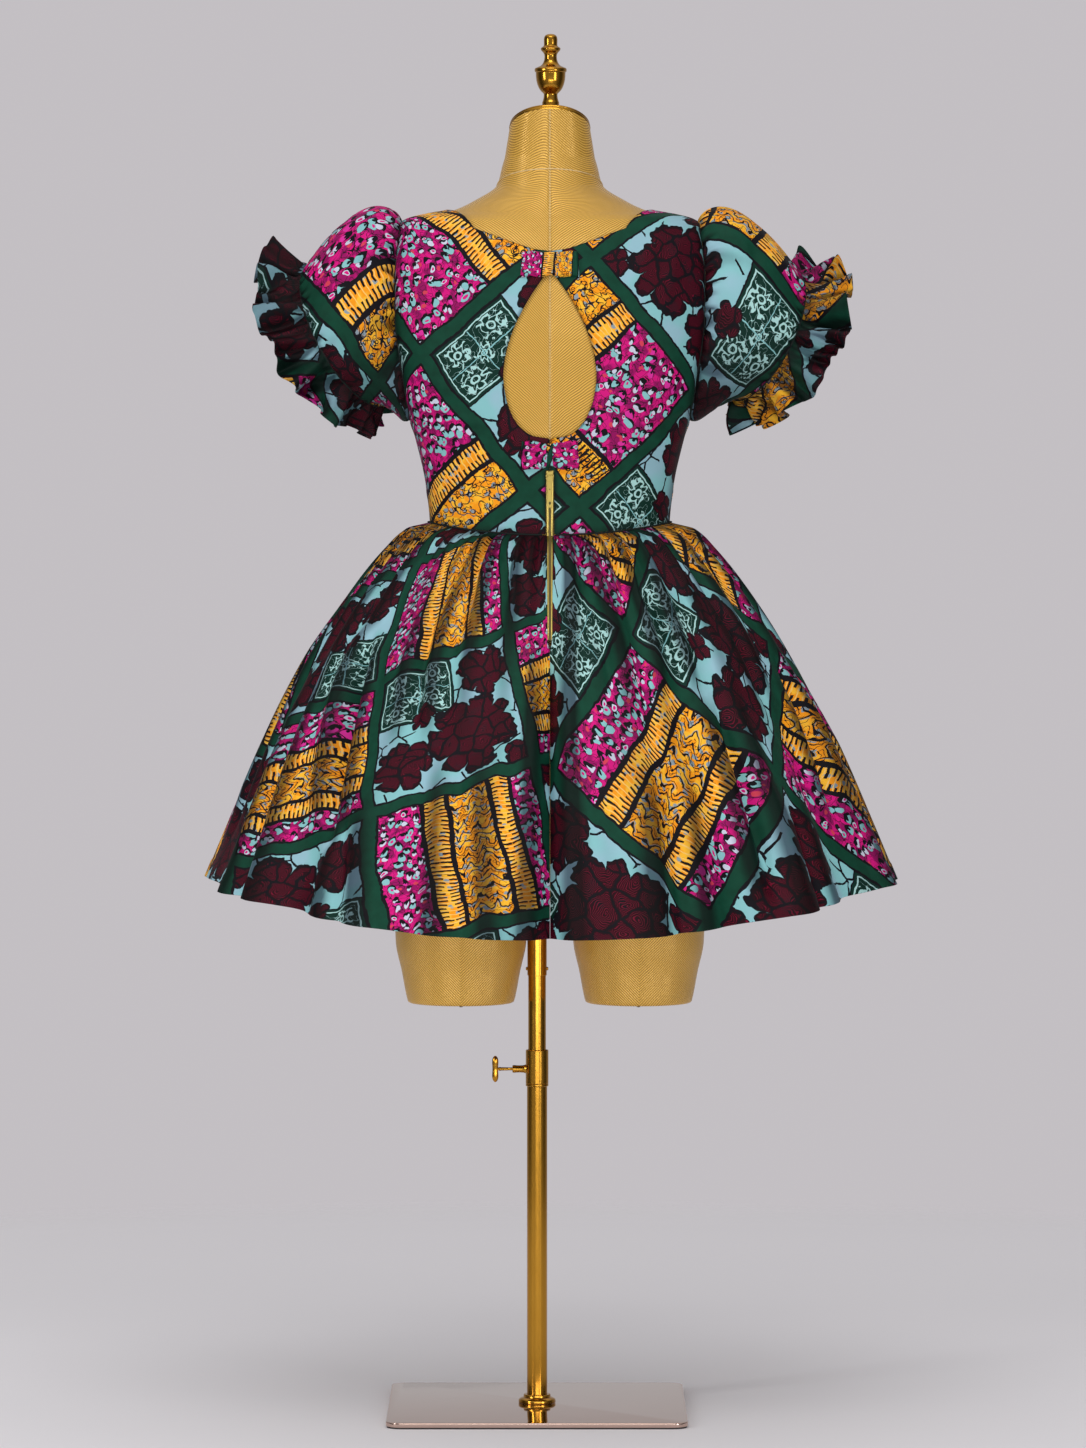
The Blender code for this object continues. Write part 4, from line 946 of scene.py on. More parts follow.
def weave():
    """Plain weave as a node group: the height of threads crossing every 0.45 mm, from two
    sine waves, with slubs from noise."""
    tree = bpy.data.node_groups.new("plain_weave", "ShaderNodeTree")
    tree.interface.new_socket("Place", in_out="INPUT", socket_type="NodeSocketVector")
    tree.interface.new_socket("Height", in_out="OUTPUT", socket_type="NodeSocketFloat")
    source = tree.nodes.new("NodeGroupInput").outputs["Place"]
    parts = add(tree, "ShaderNodeSeparateXYZ", links={"Vector": source})
    warp_way, weft_way = (Num(tree, parts.outputs[k]) * (2 * math.pi / 0.0009) for k in "XY")
    slub = soft_noise(tree, source, 420.0, 2.0)
    height = warp_way.math("SINE") * weft_way.math("SINE") * 0.25 + slub * 0.5
    done = tree.nodes.new("NodeGroupOutput")
    tree.links.new(height.socket, done.inputs["Height"])
    return tree


PRINT_GROUP = wax_print()
WEAVE_GROUP = weave()


def print_cotton(name, shade_tint):
    """Printed cotton: the print's colour, a little soft crease in its height, and the weave.
    A tint paints shade on it where a point attribute says: in folds, by seams and edges, and under the
    arms."""
    made, tree, shader = new_material(name, Specular_IOR_Level=0.14)
    place = add(tree, "ShaderNodeUVMap", uv_map="cloth").outputs["UV"]
    dyed, threads = (add(tree, "ShaderNodeGroup", node_tree=group) for group in
                     (PRINT_GROUP, WEAVE_GROUP))
    feed(tree, dyed, {"Place": place})
    feed(tree, threads, {"Place": place})
    crease = soft_noise(tree, place, 14.0, 3.0)
    # The mesh's point attribute of painted shade mixes the print towards the shade tint.
    fold = add(tree, "ShaderNodeAttribute", attribute_name="painted_shade")
    shaded_print = add(tree, "ShaderNodeMixRGB", {"Color2": (*shade_tint, 1)},
                {"Color1": dyed.outputs["Colour"], "Fac": fold.outputs["Fac"]},
                blend_type="MULTIPLY")
    soft = surface_bump(tree, crease, 0.5, 0.004)
    fine = surface_bump(tree, Num(tree, threads.outputs["Height"]), 0.25, 0.0003, soft)
    feed(tree, shader, {"Base Color": shaded_print.outputs["Color"], "Normal": fine,
                        "Roughness": (crease * 0.2 + 0.52).socket})
    return made


cotton = print_cotton("wax_print_cotton", (0.14, 0.14, 0.17))

# Bodice: two backs and a front, cut to lie close over the form, with a rolled edge round the
# neck and the keyhole. The backs meet only under the tabs and along the zip.
WAIST_SIDE = 1.0520
WAIST_DIP = 0.0140
ARM_BOTTOM = 1.1720
NECK_POINT = 0.1220
SHOULDER_POINT = 0.1720
STRAP_BASE = 1.3940
ZIP_SLOT = 0.0048
SEAM = 0.0002
NEAR = 0.0026
FAR = 0.0035
BACK_COLUMNS = 44
ARMHOLE = table("height edge", [
    (1.1720, 0.1617), (1.1800, 0.1620), (1.1970, 0.1655), (1.2220, 0.1690), (1.2530, 0.1740),
    (1.2890, 0.1780), (1.3360, 0.1785), (1.3700, 0.1760), (1.3940, 0.1730), (1.4100, 0.1720),
])
BACK_ROWS = table("height inner", [
    (1.0520, ZIP_SLOT), (1.0800, ZIP_SLOT), (1.1128, ZIP_SLOT), (1.1132, SEAM), (1.1490, SEAM),
    (1.1530, 0.0190), (1.1600, 0.0310), (1.1720, 0.0410), (1.1800, 0.0450), (1.1970, 0.0507),
    (1.2220, 0.0540), (1.2430, 0.0520), (1.2730, 0.0437), (1.3040, 0.0290), (1.3250, 0.0160),
    (1.3380, 0.0060), (1.3420, SEAM), (1.3660, SEAM), (1.3695, 0.0180), (1.3735, 0.0310),
    (1.3790, 0.0470), (1.3860, 0.0660), (1.3940, 0.0880),
])
STRAP = table("rise inner edge", [
    (0.00, 0.0880, 0.1730), (0.20, 0.0970, 0.1728), (0.45, 0.1080, 0.1725),
    (0.75, 0.1180, 0.1722), (1.00, NECK_POINT, SHOULDER_POINT),
])


def form_depth(x, z, side):
    """How far the form reaches to its front (side 1) or back (side -1), x from its middle."""
    width, front, back, power = form_section(z)
    reach = front if side > 0 else back
    return side * reach * (1 - np.clip(np.abs(x) / width, 0, 1) ** power) ** (1 / power)


def form_level(x, y, z, side):
    """The form's level function, one on its surface: |x/width|^power + |y/reach|^power."""
    width, front, back, power = form_section(z)
    reach = front if side > 0 else back
    return np.abs(x / width) ** power + np.abs(y / reach) ** power


def off_form(x, z, side, gap):
    """Points a gap off the form's surface, along its normal: the level function's gradient,
    from differences over a small step."""
    x, z = np.broadcast_arrays(x, z)
    y = form_depth(x, z, side)
    d = 1e-5
    slope = np.stack([form_level(x + d, y, z, side) - form_level(x - d, y, z, side),
                      form_level(x, y + d, z, side) - form_level(x, y - d, z, side),
                      form_level(x, y, z + d, side) - form_level(x, y, z - d, side)], axis=-1)
    normal = slope / np.linalg.norm(slope, axis=-1, keepdims=True)
    return np.stack([x + FORM_X, y, z], axis=-1) + normal * np.asarray(gap)[..., None]


def ridge(x):
    """Height of the shoulder line at distance x from the middle."""
    top = FORM["height"] >= 1.33
    return smooth_curve(-np.abs(x), -FORM["half_width"][top], FORM["height"][top])


def armhole(z):
    """Distance from the middle to the panel's outer edge: the side seam, then the armhole."""
    side = form_section(z)[0]
    edge = smooth_curve(z, ARMHOLE["height"], ARMHOLE["edge"])
    return np.where(z > ARM_BOTTOM, np.minimum(edge, side), side)


def waist_line(x):
    """Height of the waist seam, lowest at the middle of the back and front."""
    return WAIST_SIDE - WAIST_DIP * (1 - np.clip(x / form_section(WAIST_SIDE)[0], -1, 1) ** 2)


def finer(columns, count):
    """Named columns at count places spread evenly over their rows, on smooth curves."""
    rows = np.arange(len(next(iter(columns.values()))))
    at = np.linspace(0, rows[-1], count)
    return {name: smooth_curve(at, rows, values) for name, values in columns.items()}


def apart(points, side):
    """Keep a panel's points a seam gap away from the plane between front and back."""
    points[..., 1] = np.where(points[..., 1] * side < SEAM, side * SEAM, points[..., 1])
    return points


def cloth_wall(name, outer, inner, uv, finish, closed=False, painted_shade=None):
    """Thin closed cloth between two grids of points, with its edges closed and one UV for
    each point. A closed wall's last column lies on its first, and only the UVs differ.
    The painted shade says how far each point is darkened for shade in folds, by edges and seams, from
    none to one."""
    rows, columns = outer.shape[:2]
    place = np.arange(rows * columns).reshape(rows, columns)
    if closed:
        outer, inner = outer[:, :-1], inner[:, :-1]
        painted_shade = None if painted_shade is None else painted_shade[:, :-1]
    index = np.arange(rows * outer.shape[1]).reshape(rows, -1)
    if closed:
        index = closed_up(index)
    under = rows * outer.shape[1]

    def quads(grid, below):
        """Faces of both sides and of the open edges, whose far points are numbered below."""
        made = [grid_faces(grid), grid_faces(grid)[:, ::-1] + below]
        edges = [(grid[0, 1:], grid[0, :-1]), (grid[-1, :-1], grid[-1, 1:])]
        if not closed:
            edges += [(grid[:-1, 0], grid[1:, 0]), (grid[1:, -1], grid[:-1, -1])]
        made += [np.stack([s, e, e + below, s + below], axis=-1) for s, e in edges]
        return np.concatenate(made)

    faces, corners = quads(index, under), quads(place, 0)
    across = outer[:-1, 1:] - outer[:-1, :-1]
    down = outer[1:, :-1] - outer[:-1, :-1]
    if np.sum(np.cross(across, down) * (outer - inner)[:-1, :-1]) < 0:
        faces, corners = faces[:, ::-1], corners[:, ::-1]
    points = np.concatenate([outer.reshape(-1, 3), inner.reshape(-1, 3)])
    if painted_shade is not None:
        painted_shade = np.concatenate([painted_shade.ravel(), painted_shade.ravel()])
    return plain_mesh(name, points, faces, finish, uv.reshape(-1, 2)[corners.ravel()], 50, painted_shade)


def bell(x, width):
    """One where x is zero, dying away on both sides of it over a width."""
    return np.exp(-(x / width) ** 2)


def hollows(points, normals, spans, depth):
    """How deep in a fold each point of a closed grid lies: the mean of its neighbours some
    columns away stands this much above it, as a share of a depth."""
    deepest = np.zeros(points.shape[:2])
    for span in spans:
        around = (np.roll(points, span, axis=1) + np.roll(points, -span, axis=1)) / 2
        rise = np.sum((around - points) * normals, axis=2) / depth
        deepest = np.maximum(deepest, np.clip(rise, 0, 1))
    return deepest


def cut(uv, corner, turn, mirror=False, cells=(0, 0), grow=(1.0, 1.0)):
    """Lay a piece's UVs on the print: a corner of the lattice comes to the given place, turned
    by an angle in degrees, turned over if need be, and moved on by whole cells. Cells grow by
    two shares, down the lattice and up it."""
    u, v = uv[..., 0] - corner[0], uv[..., 1] - corner[1]
    if mirror:
        u = -u
    c, s = math.cos(math.radians(turn)), math.sin(math.radians(turn))
    u, v = u * c - v * s, u * s + v * c
    down, up = (u - v) / 2 / grow[0], (u + v) / 2 / grow[1]
    step = CELL * math.sqrt(0.5)
    return np.stack([up + down + step * (cells[0] + cells[1]),
                     up - down + step * (cells[1] - cells[0])], axis=-1)


def back_rows():
    """Distances and heights of one back's points, from its inner to its outer edge."""
    u = np.sin(np.linspace(0, np.pi / 2, BACK_COLUMNS + 1))[None, :]
    low = finer(BACK_ROWS, 111)
    z, inner = low["height"][:, None], low["inner"][:, None]
    x = inner + (armhole(z) - inner) * u
    sink = np.clip(1 - (z - WAIST_SIDE) / 0.028, 0, 1)
    z = z + (waist_line(x) - WAIST_SIDE) * sink
    top = finer(STRAP, 21)
    rise, inner, edge = (top[k][1:, None] for k in ("rise", "inner", "edge"))
    strap_x = inner + (edge - inner) * u
    strap_z = STRAP_BASE + (ridge(strap_x) - STRAP_BASE) * (1 - (1 - rise) ** 2)
    return np.concatenate([x, strap_x]), np.concatenate([z, strap_z])


def creases(x, z, rows):
    """Soft creases: each row is a place, a run, a width, a slant and a height. A crease is a
    bell across its width and a longer one along its run, turned by its slant."""
    raised = 0 * x
    for at_x, at_z, run, width, slant, height in rows:
        c, s = math.cos(math.radians(slant)), math.sin(math.radians(slant))
        along, across = (x - at_x) * c + (z - at_z) * s, (z - at_z) * c - (x - at_x) * s
        raised = raised + height * np.exp(-(along / run) ** 2 - (across / width) ** 2)
    return raised


BACK_CREASES = [
    (0.128, 1.180, 0.045, 0.0050, 20, 0.0022), (0.135, 1.150, 0.040, 0.0050, 12, 0.0018),
    (0.120, 1.205, 0.040, 0.0060, 32, 0.0016), (0.060, 1.085, 0.045, 0.0055, -8, 0.0016),
    (0.075, 1.066, 0.040, 0.0045, 4, 0.0014), (0.112, 1.098, 0.035, 0.0050, 10, 0.0014),
    (0.140, 1.340, 0.035, 0.0060, 75, 0.0014), (0.110, 1.360, 0.040, 0.0070, 60, 0.0010),
    (0.048, 1.130, 0.025, 0.0050, -35, 0.0012), (0.098, 1.250, 0.050, 0.0100, 55, 0.0010),
]
BACK_CUTS = {"left": {"corner": (-0.1560, 1.2496), "turn": 6},
             "right": {"corner": (0.1880, 1.2070), "turn": -3, "mirror": True, "cells": (1, 0)}}


def panel(x, z, side, lift):
    """Outer, inner and middle points of a panel, which its creases lift off the form."""
    return [apart(off_form(x, z, side, gap), side)
            for gap in (FAR + lift, NEAR + lift * 0.7, (NEAR + FAR) / 2 + 0 * x)]


def climbed(middle, start):
    """How high each point of a panel comes along its cloth, from the heights of its foot."""
    rise = np.hypot(*np.moveaxis(np.diff(middle[..., 1:], axis=0), -1, 0))
    return start + np.concatenate([0 * rise[:1], np.cumsum(rise, axis=0)])


back_x, back_z = back_rows()
from_inner, from_outer = back_x - back_x[:, :1], back_x[:, -1:] - back_x
back_mid = {}
for side, word in ((-1, "left"), (1, "right")):
    lift = creases(back_x, back_z + 0.004 * side, BACK_CREASES)
    lift = lift * np.clip(from_inner / 0.008, 0, 1) * np.clip(from_outer / 0.01, 0, 1)
    far, near, back_mid[side] = panel(side * back_x, back_z, -1, lift)
    uv = uv_grid(side * (run_along(back_mid[side], 1) + back_x[:, :1]),
                 climbed(back_mid[side], back_z[:1]))
    uv = cut(uv, **BACK_CUTS[word])
    # Painted shade: darker along the keyhole's edge, the armhole edge and the waist seam, where shade
    # falls.
    dark = np.clip(0.80 * bell(from_inner, 0.0016) + 0.65 * bell(from_outer, 0.0050)
                   + 0.60 * bell(back_z - waist_line(back_x), 0.0050), 0, 0.9)
    made = cloth_wall("bodice_back_cloth_" + word, far, near, uv, cotton, painted_shade=dark)
    finished(made, "form", "print", "bodice_back_" + word)

FRONT_TOP = table("across height", [
    (0.0000, 1.3350), (0.0350, 1.3367), (0.0650, 1.3440), (0.0880, 1.3570), (0.1040, 1.3730),
    (0.1140, 1.3900), (0.1190, 1.4030), (0.1212, 1.4110), (NECK_POINT, float(ridge(NECK_POINT))),
    (0.1350, float(ridge(0.1350))), (0.1530, float(ridge(0.1530))),
    (SHOULDER_POINT, float(ridge(SHOULDER_POINT))),
])
FRONT_HALF = 56
top = finer(FRONT_TOP, FRONT_HALF)
spread = np.sin(np.linspace(0, np.pi / 2, FRONT_HALF))
height = np.where(top["across"] > NECK_POINT, ridge(top["across"]), top["height"])
top_x = np.concatenate([-top["across"][:0:-1], top["across"]])[None, :]
top_z = np.concatenate([height[:0:-1], height])[None, :]
low_u = np.concatenate([-spread[:0:-1], spread])[None, :]
waist = waist_line(low_u * form_section(WAIST_SIDE)[0])
shoulder = float(ridge(SHOULDER_POINT))
edge_z = np.concatenate([np.linspace(WAIST_SIDE, STRAP_BASE, 80),
                         STRAP_BASE + (shoulder - STRAP_BASE)
                         * (1 - (1 - np.linspace(0, 1, 15)[1:]) ** 2)])[:, None]
share = (edge_z - WAIST_SIDE) / (shoulder - WAIST_SIDE)
front_z = waist + (top_z - waist) * share
front_u = low_u + (top_x / SHOULDER_POINT - low_u) * share ** 2
front_x = np.where(edge_z < shoulder, front_u * armhole(edge_z), top_x)
FRONT_CREASES = [(s * x, z, run, width, s * slant, height) for s in (-1, 1)
                 for x, z, run, width, slant, height in (
                     (0.125, 1.190, 0.050, 0.0070, -35, 0.0016),
                     (0.100, 1.100, 0.045, 0.0060, -20, 0.0014),
                     (0.060, 1.075, 0.045, 0.0050, 10, 0.0014),
                     (0.130, 1.330, 0.040, 0.0070, 65, 0.0012))]
lift = creases(front_x, front_z, FRONT_CREASES)
far, near, front_mid = panel(front_x, front_z, 1, lift)
arc = run_along(front_mid, 1)
uv = uv_grid(arc[:, FRONT_HALF - 1:FRONT_HALF] - arc, climbed(front_mid, front_z[:1]))
uv = cut(uv, (0.020, 1.2000), 4)
made = cloth_wall("bodice_front_cloth", far, near, uv, cotton)
finished(made, "form", "print", "bodice_front")

# Skirt: a front and two backs, gathered to the waist seam and flaring in soft folds to a
# turned-up hem. It hangs from the waist and is longest at the middle of the back and front.
GATHERS = 32
HEM_SIDE = 0.6310
HEM_BACK = 0.5820
HEM_START = 0.955
HEM_EXTRA = 0.0009
HALF_CLOTH = 0.00045
SLOT_FOOT = 0.9070
SKIRT_COLUMNS = 800
SKIRT = table("drop half_width front back power gather fold", [
    (0.000, 0.1425, 0.1035, 0.0875, 2.2, 0.0010, 0.00),
    (0.017, 0.1630, 0.1170, 0.1010, 2.2, 0.0026, 0.00),
    (0.070, 0.1880, 0.1420, 0.1250, 2.2, 0.0034, 0.04),
    (0.160, 0.2220, 0.1760, 0.1610, 2.1, 0.0028, 0.14),
    (0.300, 0.2640, 0.2200, 0.2090, 2.1, 0.0014, 0.34),
    (0.475, 0.3060, 0.2640, 0.2560, 2.0, 0.0003, 0.58),
    (0.650, 0.3410, 0.3010, 0.2950, 2.0, 0.0000, 0.78),
    (0.840, 0.3750, 0.3370, 0.3320, 2.0, 0.0000, 0.93),
    (1.000, 0.4030, 0.3660, 0.3610, 2.0, 0.0000, 1.00),
])
# Soft folds: where round the hem (0 is the right side seam, 90 the centre front), how far
# the cloth stands out or in at the hem, and half the fold's width.
FOLDS = table("angle depth width", [
    (-90, -0.0240, 4.5), (-74, 0.0100, 8.0), (-58, -0.0090, 6.0), (-44, 0.0120, 7.0),
    (-30, -0.0120, 5.5), (-14, 0.0080, 7.0), (8, -0.0100, 6.0), (24, 0.0110, 8.0),
    (44, -0.0120, 6.0), (61, 0.0090, 7.0), (82, -0.0100, 7.0), (99, 0.0110, 7.0),
    (118, -0.0130, 6.0), (137, 0.0100, 8.0), (158, -0.0090, 6.0), (173, 0.0080, 6.0),
    (192, -0.0080, 6.0), (206, 0.0110, 7.0), (222, -0.0150, 5.0), (236, 0.0100, 7.0),
    (253, 0.0080, 7.0),
])
# Fine gathers, each dying away at its own drop: waves round the waist, how high and how deep.
PUCKERS = table("waves reach drop phase", [
    (64, 0.0032, 0.15, 0.3), (91, 0.0021, 0.11, 1.9), (47, 0.0028, 0.28, 2.7),
    (118, 0.0010, 0.07, 0.8), (33, 0.0030, 0.42, 1.1),
])
# Sharp creases: where round the skirt at their top and foot, from what to what share of the
# drop they run, how deep they are and half their width.
SHARP = table("high low start stop depth width", [
    (-90, -90, 0.24, 1.30, 0.0130, 1.3), (217, 227, 0.26, 0.86, 0.0170, 1.7),
    (204, 209, 0.34, 1.20, 0.0110, 1.7), (236, 241, 0.10, 0.55, 0.0090, 1.5),
    (251, 257, 0.50, 1.20, 0.0080, 1.9), (228, 236, 0.62, 1.20, 0.0090, 1.7),
    (-50, -49, 0.42, 0.98, 0.0140, 1.4), (-21, -24, 0.36, 0.84, 0.0120, 1.5),
    (-37, -34, 0.12, 0.52, 0.0090, 1.4), (-66, -69, 0.56, 1.20, 0.0090, 1.9),
    (-12, -8, 0.46, 1.20, 0.0100, 1.9), (-62, -58, 0.10, 0.40, 0.0080, 1.2),
    (-78, -76, 0.08, 0.46, 0.0070, 1.3), (-39, -40, 0.66, 1.20, 0.0090, 1.8),
    (14, 12, 0.30, 1.20, 0.0100, 1.8), (33, 36, 0.16, 0.80, 0.0110, 1.6),
    (54, 51, 0.40, 1.20, 0.0120, 1.7), (72, 75, 0.12, 0.62, 0.0090, 1.5),
    (91, 93, 0.45, 1.20, 0.0120, 1.8), (112, 108, 0.20, 0.90, 0.0110, 1.6),
    (128, 131, 0.45, 1.20, 0.0120, 1.7), (147, 150, 0.14, 0.70, 0.0100, 1.5),
    (166, 163, 0.38, 1.20, 0.0110, 1.8), (184, 187, 0.20, 0.90, 0.0090, 1.6),
])


def skirt_shape(angle, drop):
    """Middle surface of the skirt. A section is an oval pushed out or in by the gathers, a
    wave round it that dies away below the waist, and by the folds, which grow to the hem."""
    def read(name):
        """A column of the skirt's table at each drop."""
        return smooth_curve(drop, SKIRT["drop"], SKIRT[name])

    def away_from(middle):
        """Degrees from an angle round the skirt, the shorter way."""
        return (np.degrees(angle) - middle + 180) % 360 - 180

    c, s = oval(angle, read("power"))
    reach = np.where(np.sin(angle) > 0, read("front"), read("back"))
    push = read("gather") * np.cos(GATHERS * angle + 0.8 * np.sin(5 * angle) - np.pi / 2)
    for waves, high, deep, phase in zip(*PUCKERS.values()):
        fade = np.exp(-(drop / deep) ** 1.5) * np.clip(drop / 0.012, 0, 1)
        push = push + high * fade * np.sin(waves * angle + phase + 1.3 * np.sin(7 * angle + phase))
    for middle, depth, width in zip(*FOLDS.values()):
        push = push + depth * read("fold") * bell(away_from(middle), width)
    for high, low, start, stop, depth, width in zip(*SHARP.values()):
        middle = high + (low - high) * np.clip((drop - start) / (stop - start), 0, 1)
        away = away_from(middle)
        live = (np.clip((drop - start) / 0.16, 0, 1) * np.clip((stop - drop) / 0.16, 0, 1)) ** 0.8
        push = push + depth * live * (0.62 * bell(np.abs(away) / width - 2.6, 1.5)
                                      - bell(away, width))
    top = WAIST_SIDE - WAIST_DIP * np.sin(angle) ** 2 - 0.0016
    hem = HEM_SIDE + (HEM_BACK - HEM_SIDE) * np.sin(angle) ** 2
    return np.stack([FORM_X + (read("half_width") + push) * c, (reach + push) * s,
                     top + (hem - top) * drop], axis=-1)


def grid_normals(points, closed):
    """Unit normals of a grid, from the differences along its rows and columns."""
    down = np.gradient(points, axis=0)
    if closed:
        across = (np.roll(points, -1, axis=1) - np.roll(points, 1, axis=1)) / 2
    else:
        across = np.gradient(points, axis=1)
    normal = np.cross(down, across)
    return normal / np.linalg.norm(normal, axis=2, keepdims=True)


drops = np.unique(np.concatenate([np.linspace(0, 0.02, 7), np.linspace(0.02, 0.20, 34),
                                  np.linspace(0.20, 0.94, 44), np.linspace(0.94, 1.0, 8)]))
angle, drop = np.meshgrid(np.arange(SKIRT_COLUMNS) * 2 * np.pi / SKIRT_COLUMNS, drops)
skirt_mid = skirt_shape(angle, drop)
skirt_out = -grid_normals(skirt_mid, True)
skirt_fall = run_along(skirt_mid, 0)
# Painted shade on the skirt: darker in its folds and gathers, more so in the upper part, with a dark
# band just under the waist seam.
skirt_painted_shade = hollows(skirt_mid, skirt_out, (3, 5, 9), 0.0075)
skirt_painted_shade = skirt_painted_shade * (0.92 + 0.9 * bell(drop, 0.26))
skirt_painted_shade = np.clip(skirt_painted_shade + 0.70 * bell(drop, 0.012), 0, 0.93)
hem_run = run_along(np.concatenate([skirt_mid[-1], skirt_mid[-1, :1]])[None], 1)[0]
hem_turn = np.where(drops > HEM_START, HEM_EXTRA, 0.0)[:, None, None]


def skirt_cloth(word, first, last, edges, corner, turn, flat, area, node, **laid):
    """Cut the skirt from one column to another. Each edge is a column's end, an axis and the
    place on that axis where the cloth stops. The hem is twice as thick, where it turns up."""
    take = np.arange(first, last + 1) % SKIRT_COLUMNS
    outer = skirt_mid[:, take] + skirt_out[:, take] * HALF_CLOTH
    inner = skirt_mid[:, take] - skirt_out[:, take] * (HALF_CLOTH + hem_turn)
    for column, axis, stop in edges:
        outer[:, column, axis] = stop
        inner[:, column, axis] = stop
    uv = cut(uv_grid(hem_run[first:last + 1], 1.05 - skirt_fall[:, take]), corner, turn, **laid)
    made = cloth_wall("skirt_cloth_" + word, outer, inner, uv, cotton,
                      painted_shade=skirt_painted_shade[:, take])
    finished(made, "form", "print", node)


quarter = SKIRT_COLUMNS // 4
centre_edge = np.where(skirt_mid[:, 3 * quarter, 2] > SLOT_FOOT, ZIP_SLOT, SEAM)
back_middle = hem_run[3 * quarter]
skirt_cloth("front", 0, 2 * quarter, [(0, 1, SEAM), (-1, 1, SEAM)], (0.64, 0.72), 3,
            (1.30, 0.52), 0.56, "skirt_front", cells=(4, 0), mirror=True)
skirt_cloth("back_left", 2 * quarter, 3 * quarter, [(0, 1, -SEAM), (-1, 0, FORM_X - centre_edge)],
            (back_middle - 0.330, 0.818), 26, (0.68, 0.52), 0.29, "skirt_back_left",
            cells=(4, 0), grow=(0.85, 1.22))
skirt_cloth("back_right", 3 * quarter, 4 * quarter, [(0, 0, FORM_X + centre_edge), (-1, 1, -SEAM)],
            (back_middle + 0.004, 0.728), -2, (0.68, 0.52), 0.29, "skirt_back_right",
            cells=(4, 1), grow=(1.42, 1.10))

# A near-black cotton cord along the waist seam fills the join of bodice and skirt, as painted shade for
# the dark seam there. The armhole and cuff seams get the same cord of painted shade.
seam_shade_cord = two_tone("painted_seam_shade", (0.004, 0.006, 0.006), (0.016, 0.022, 0.020), 0.0003,
                   "ShaderNodeTexNoise", {"Scale": 900.0, "Detail": 2.0},
                   Roughness=0.8, Specular_IOR_Level=0.14)
take = np.arange(3 * quarter + 5, 7 * quarter - 4, 3) % SKIRT_COLUMNS
path = skirt_mid[0, take] - skirt_out[0, take] * 0.0004 + np.array([0.0, 0.0, 0.0007])
finished(cord_round("waist_seam", path, 0.0011, seam_shade_cord, closed=False), "form", "print")

# Tabs: two short bands of patchwork scraps, folded over and sewn down across the backs above
# and below the keyhole. The lower one is pinched at its middle like a small bow.
def tab(word, low, high, half_width, pinch_depth, scale, corner):
    """A band on the backs: its underside follows them and its face swells from its edges.
    The pinch is a bell about the middle that draws its edges in and its face down. The scale
    is how much smaller the print comes out on it."""
    u = np.linspace(-1, 1, 97)[None, :]
    v = np.linspace(-1, 1, 33)[:, None]
    wide = bell(u, 0.42)
    x = half_width * u * (1 - 0.025 * v) + 0 * v
    bow = 1 - pinch_depth * (0.55 * wide + 0.45 * bell(u, 0.16))
    z = (low + high) / 2 + (high - low) / 2 * v * bow + 0.0006 * np.sin(9 * u + 1) * np.abs(v)
    under = NEAR + 0.0014
    swell = (1 - u ** 6) ** 0.5 * (1 - v ** 6) ** 0.5 * 0.0044
    folds = 0.0007 * np.sin(v * 7.5 + 2.2 * np.abs(u)) * bell(u, 0.55)
    swell = swell * (1 - pinch_depth * 1.6 * wide) + folds * (1 - np.abs(v)) + 0.0009
    swell = swell + 0.0008 * bell(np.abs(u) - 0.93, 0.03) * (1 - v ** 8)
    face = off_form(x, z, -1, under + swell)
    rear = off_form(x, z, -1, under + 0 * z)
    uv = cut(uv_grid(x * scale, (z - (low + high) / 2) * scale), corner, -41, cells=(0, 1))
    made = cloth_wall("band_" + word, face, rear, uv, cotton)
    if pinch_depth > 0.15:
        loop_u = np.linspace(-1, 1, 33)[:, None]
        turn = np.linspace(-1, 1, 13)[None, :]
        lx = 0.0042 * turn * (1 - 0.18 * np.cos(2 * loop_u)) + 0 * loop_u
        lz = (low + high) / 2 + (high - low) * 0.41 * loop_u + 0 * turn
        rise = 0.0046 * (1 - turn ** 4) ** 0.5 * (1 - loop_u ** 8) ** 0.5 + 0.0012
        uv = cut(uv_grid(lx * 2.4, (lz - low) * 2.4), (-0.015, 0.010), 70, cells=(1, 2))
        knot = cloth_wall("knot", off_form(lx, lz, -1, under + rise),
                          off_form(lx, lz, -1, under + 0.0004 + 0 * lx), uv, cotton)
        made = join("band_" + word, [made, knot])
    finished(made, "form", "print", "tab_" + word)


tab("upper", 1.3372, 1.3665, 0.0332, 0.10, 2.4, (-0.145, -0.105))
tab("lower", 1.1140, 1.1475, 0.0332, 0.26, 1.5, (-0.062, -0.090))

# Puff sleeves: each is gathered into the armhole and again at an oval cuff that faces out,
# down and a little to the front, where a ruffle of the same cotton is gathered on.
SLEEVES = table("side cuff_x cuff_z high deep lean", [
    (-1, 0.2400, 1.2710, 0.0930, 0.0700, 29.0),
    (1, 0.2530, 1.2710, 0.0840, 0.0680, 27.0),
])
CUFF_FORWARD = math.radians(28)
CUFF_Y = 0.0200
ARM_MIDDLE = 1.2880
ARM_TUCK = 0.0012
ARM_OUT = 0.0016
SLEEVE_COLUMNS = 240
SLEEVE_GIRTH = 0.0850 * 2 * np.pi
RUFFLE_COLUMNS = 480
RUFFLE_WAVES = 14
RUFFLE_LENGTH = 0.8200
SLEEVE_CUTS = {-1: {"corner": (-0.1250, 0.2650), "turn": 112, "cells": (2, 2)},
               1: {"corner": (0.1380, 0.1720), "turn": 155, "cells": (2, 2)}}
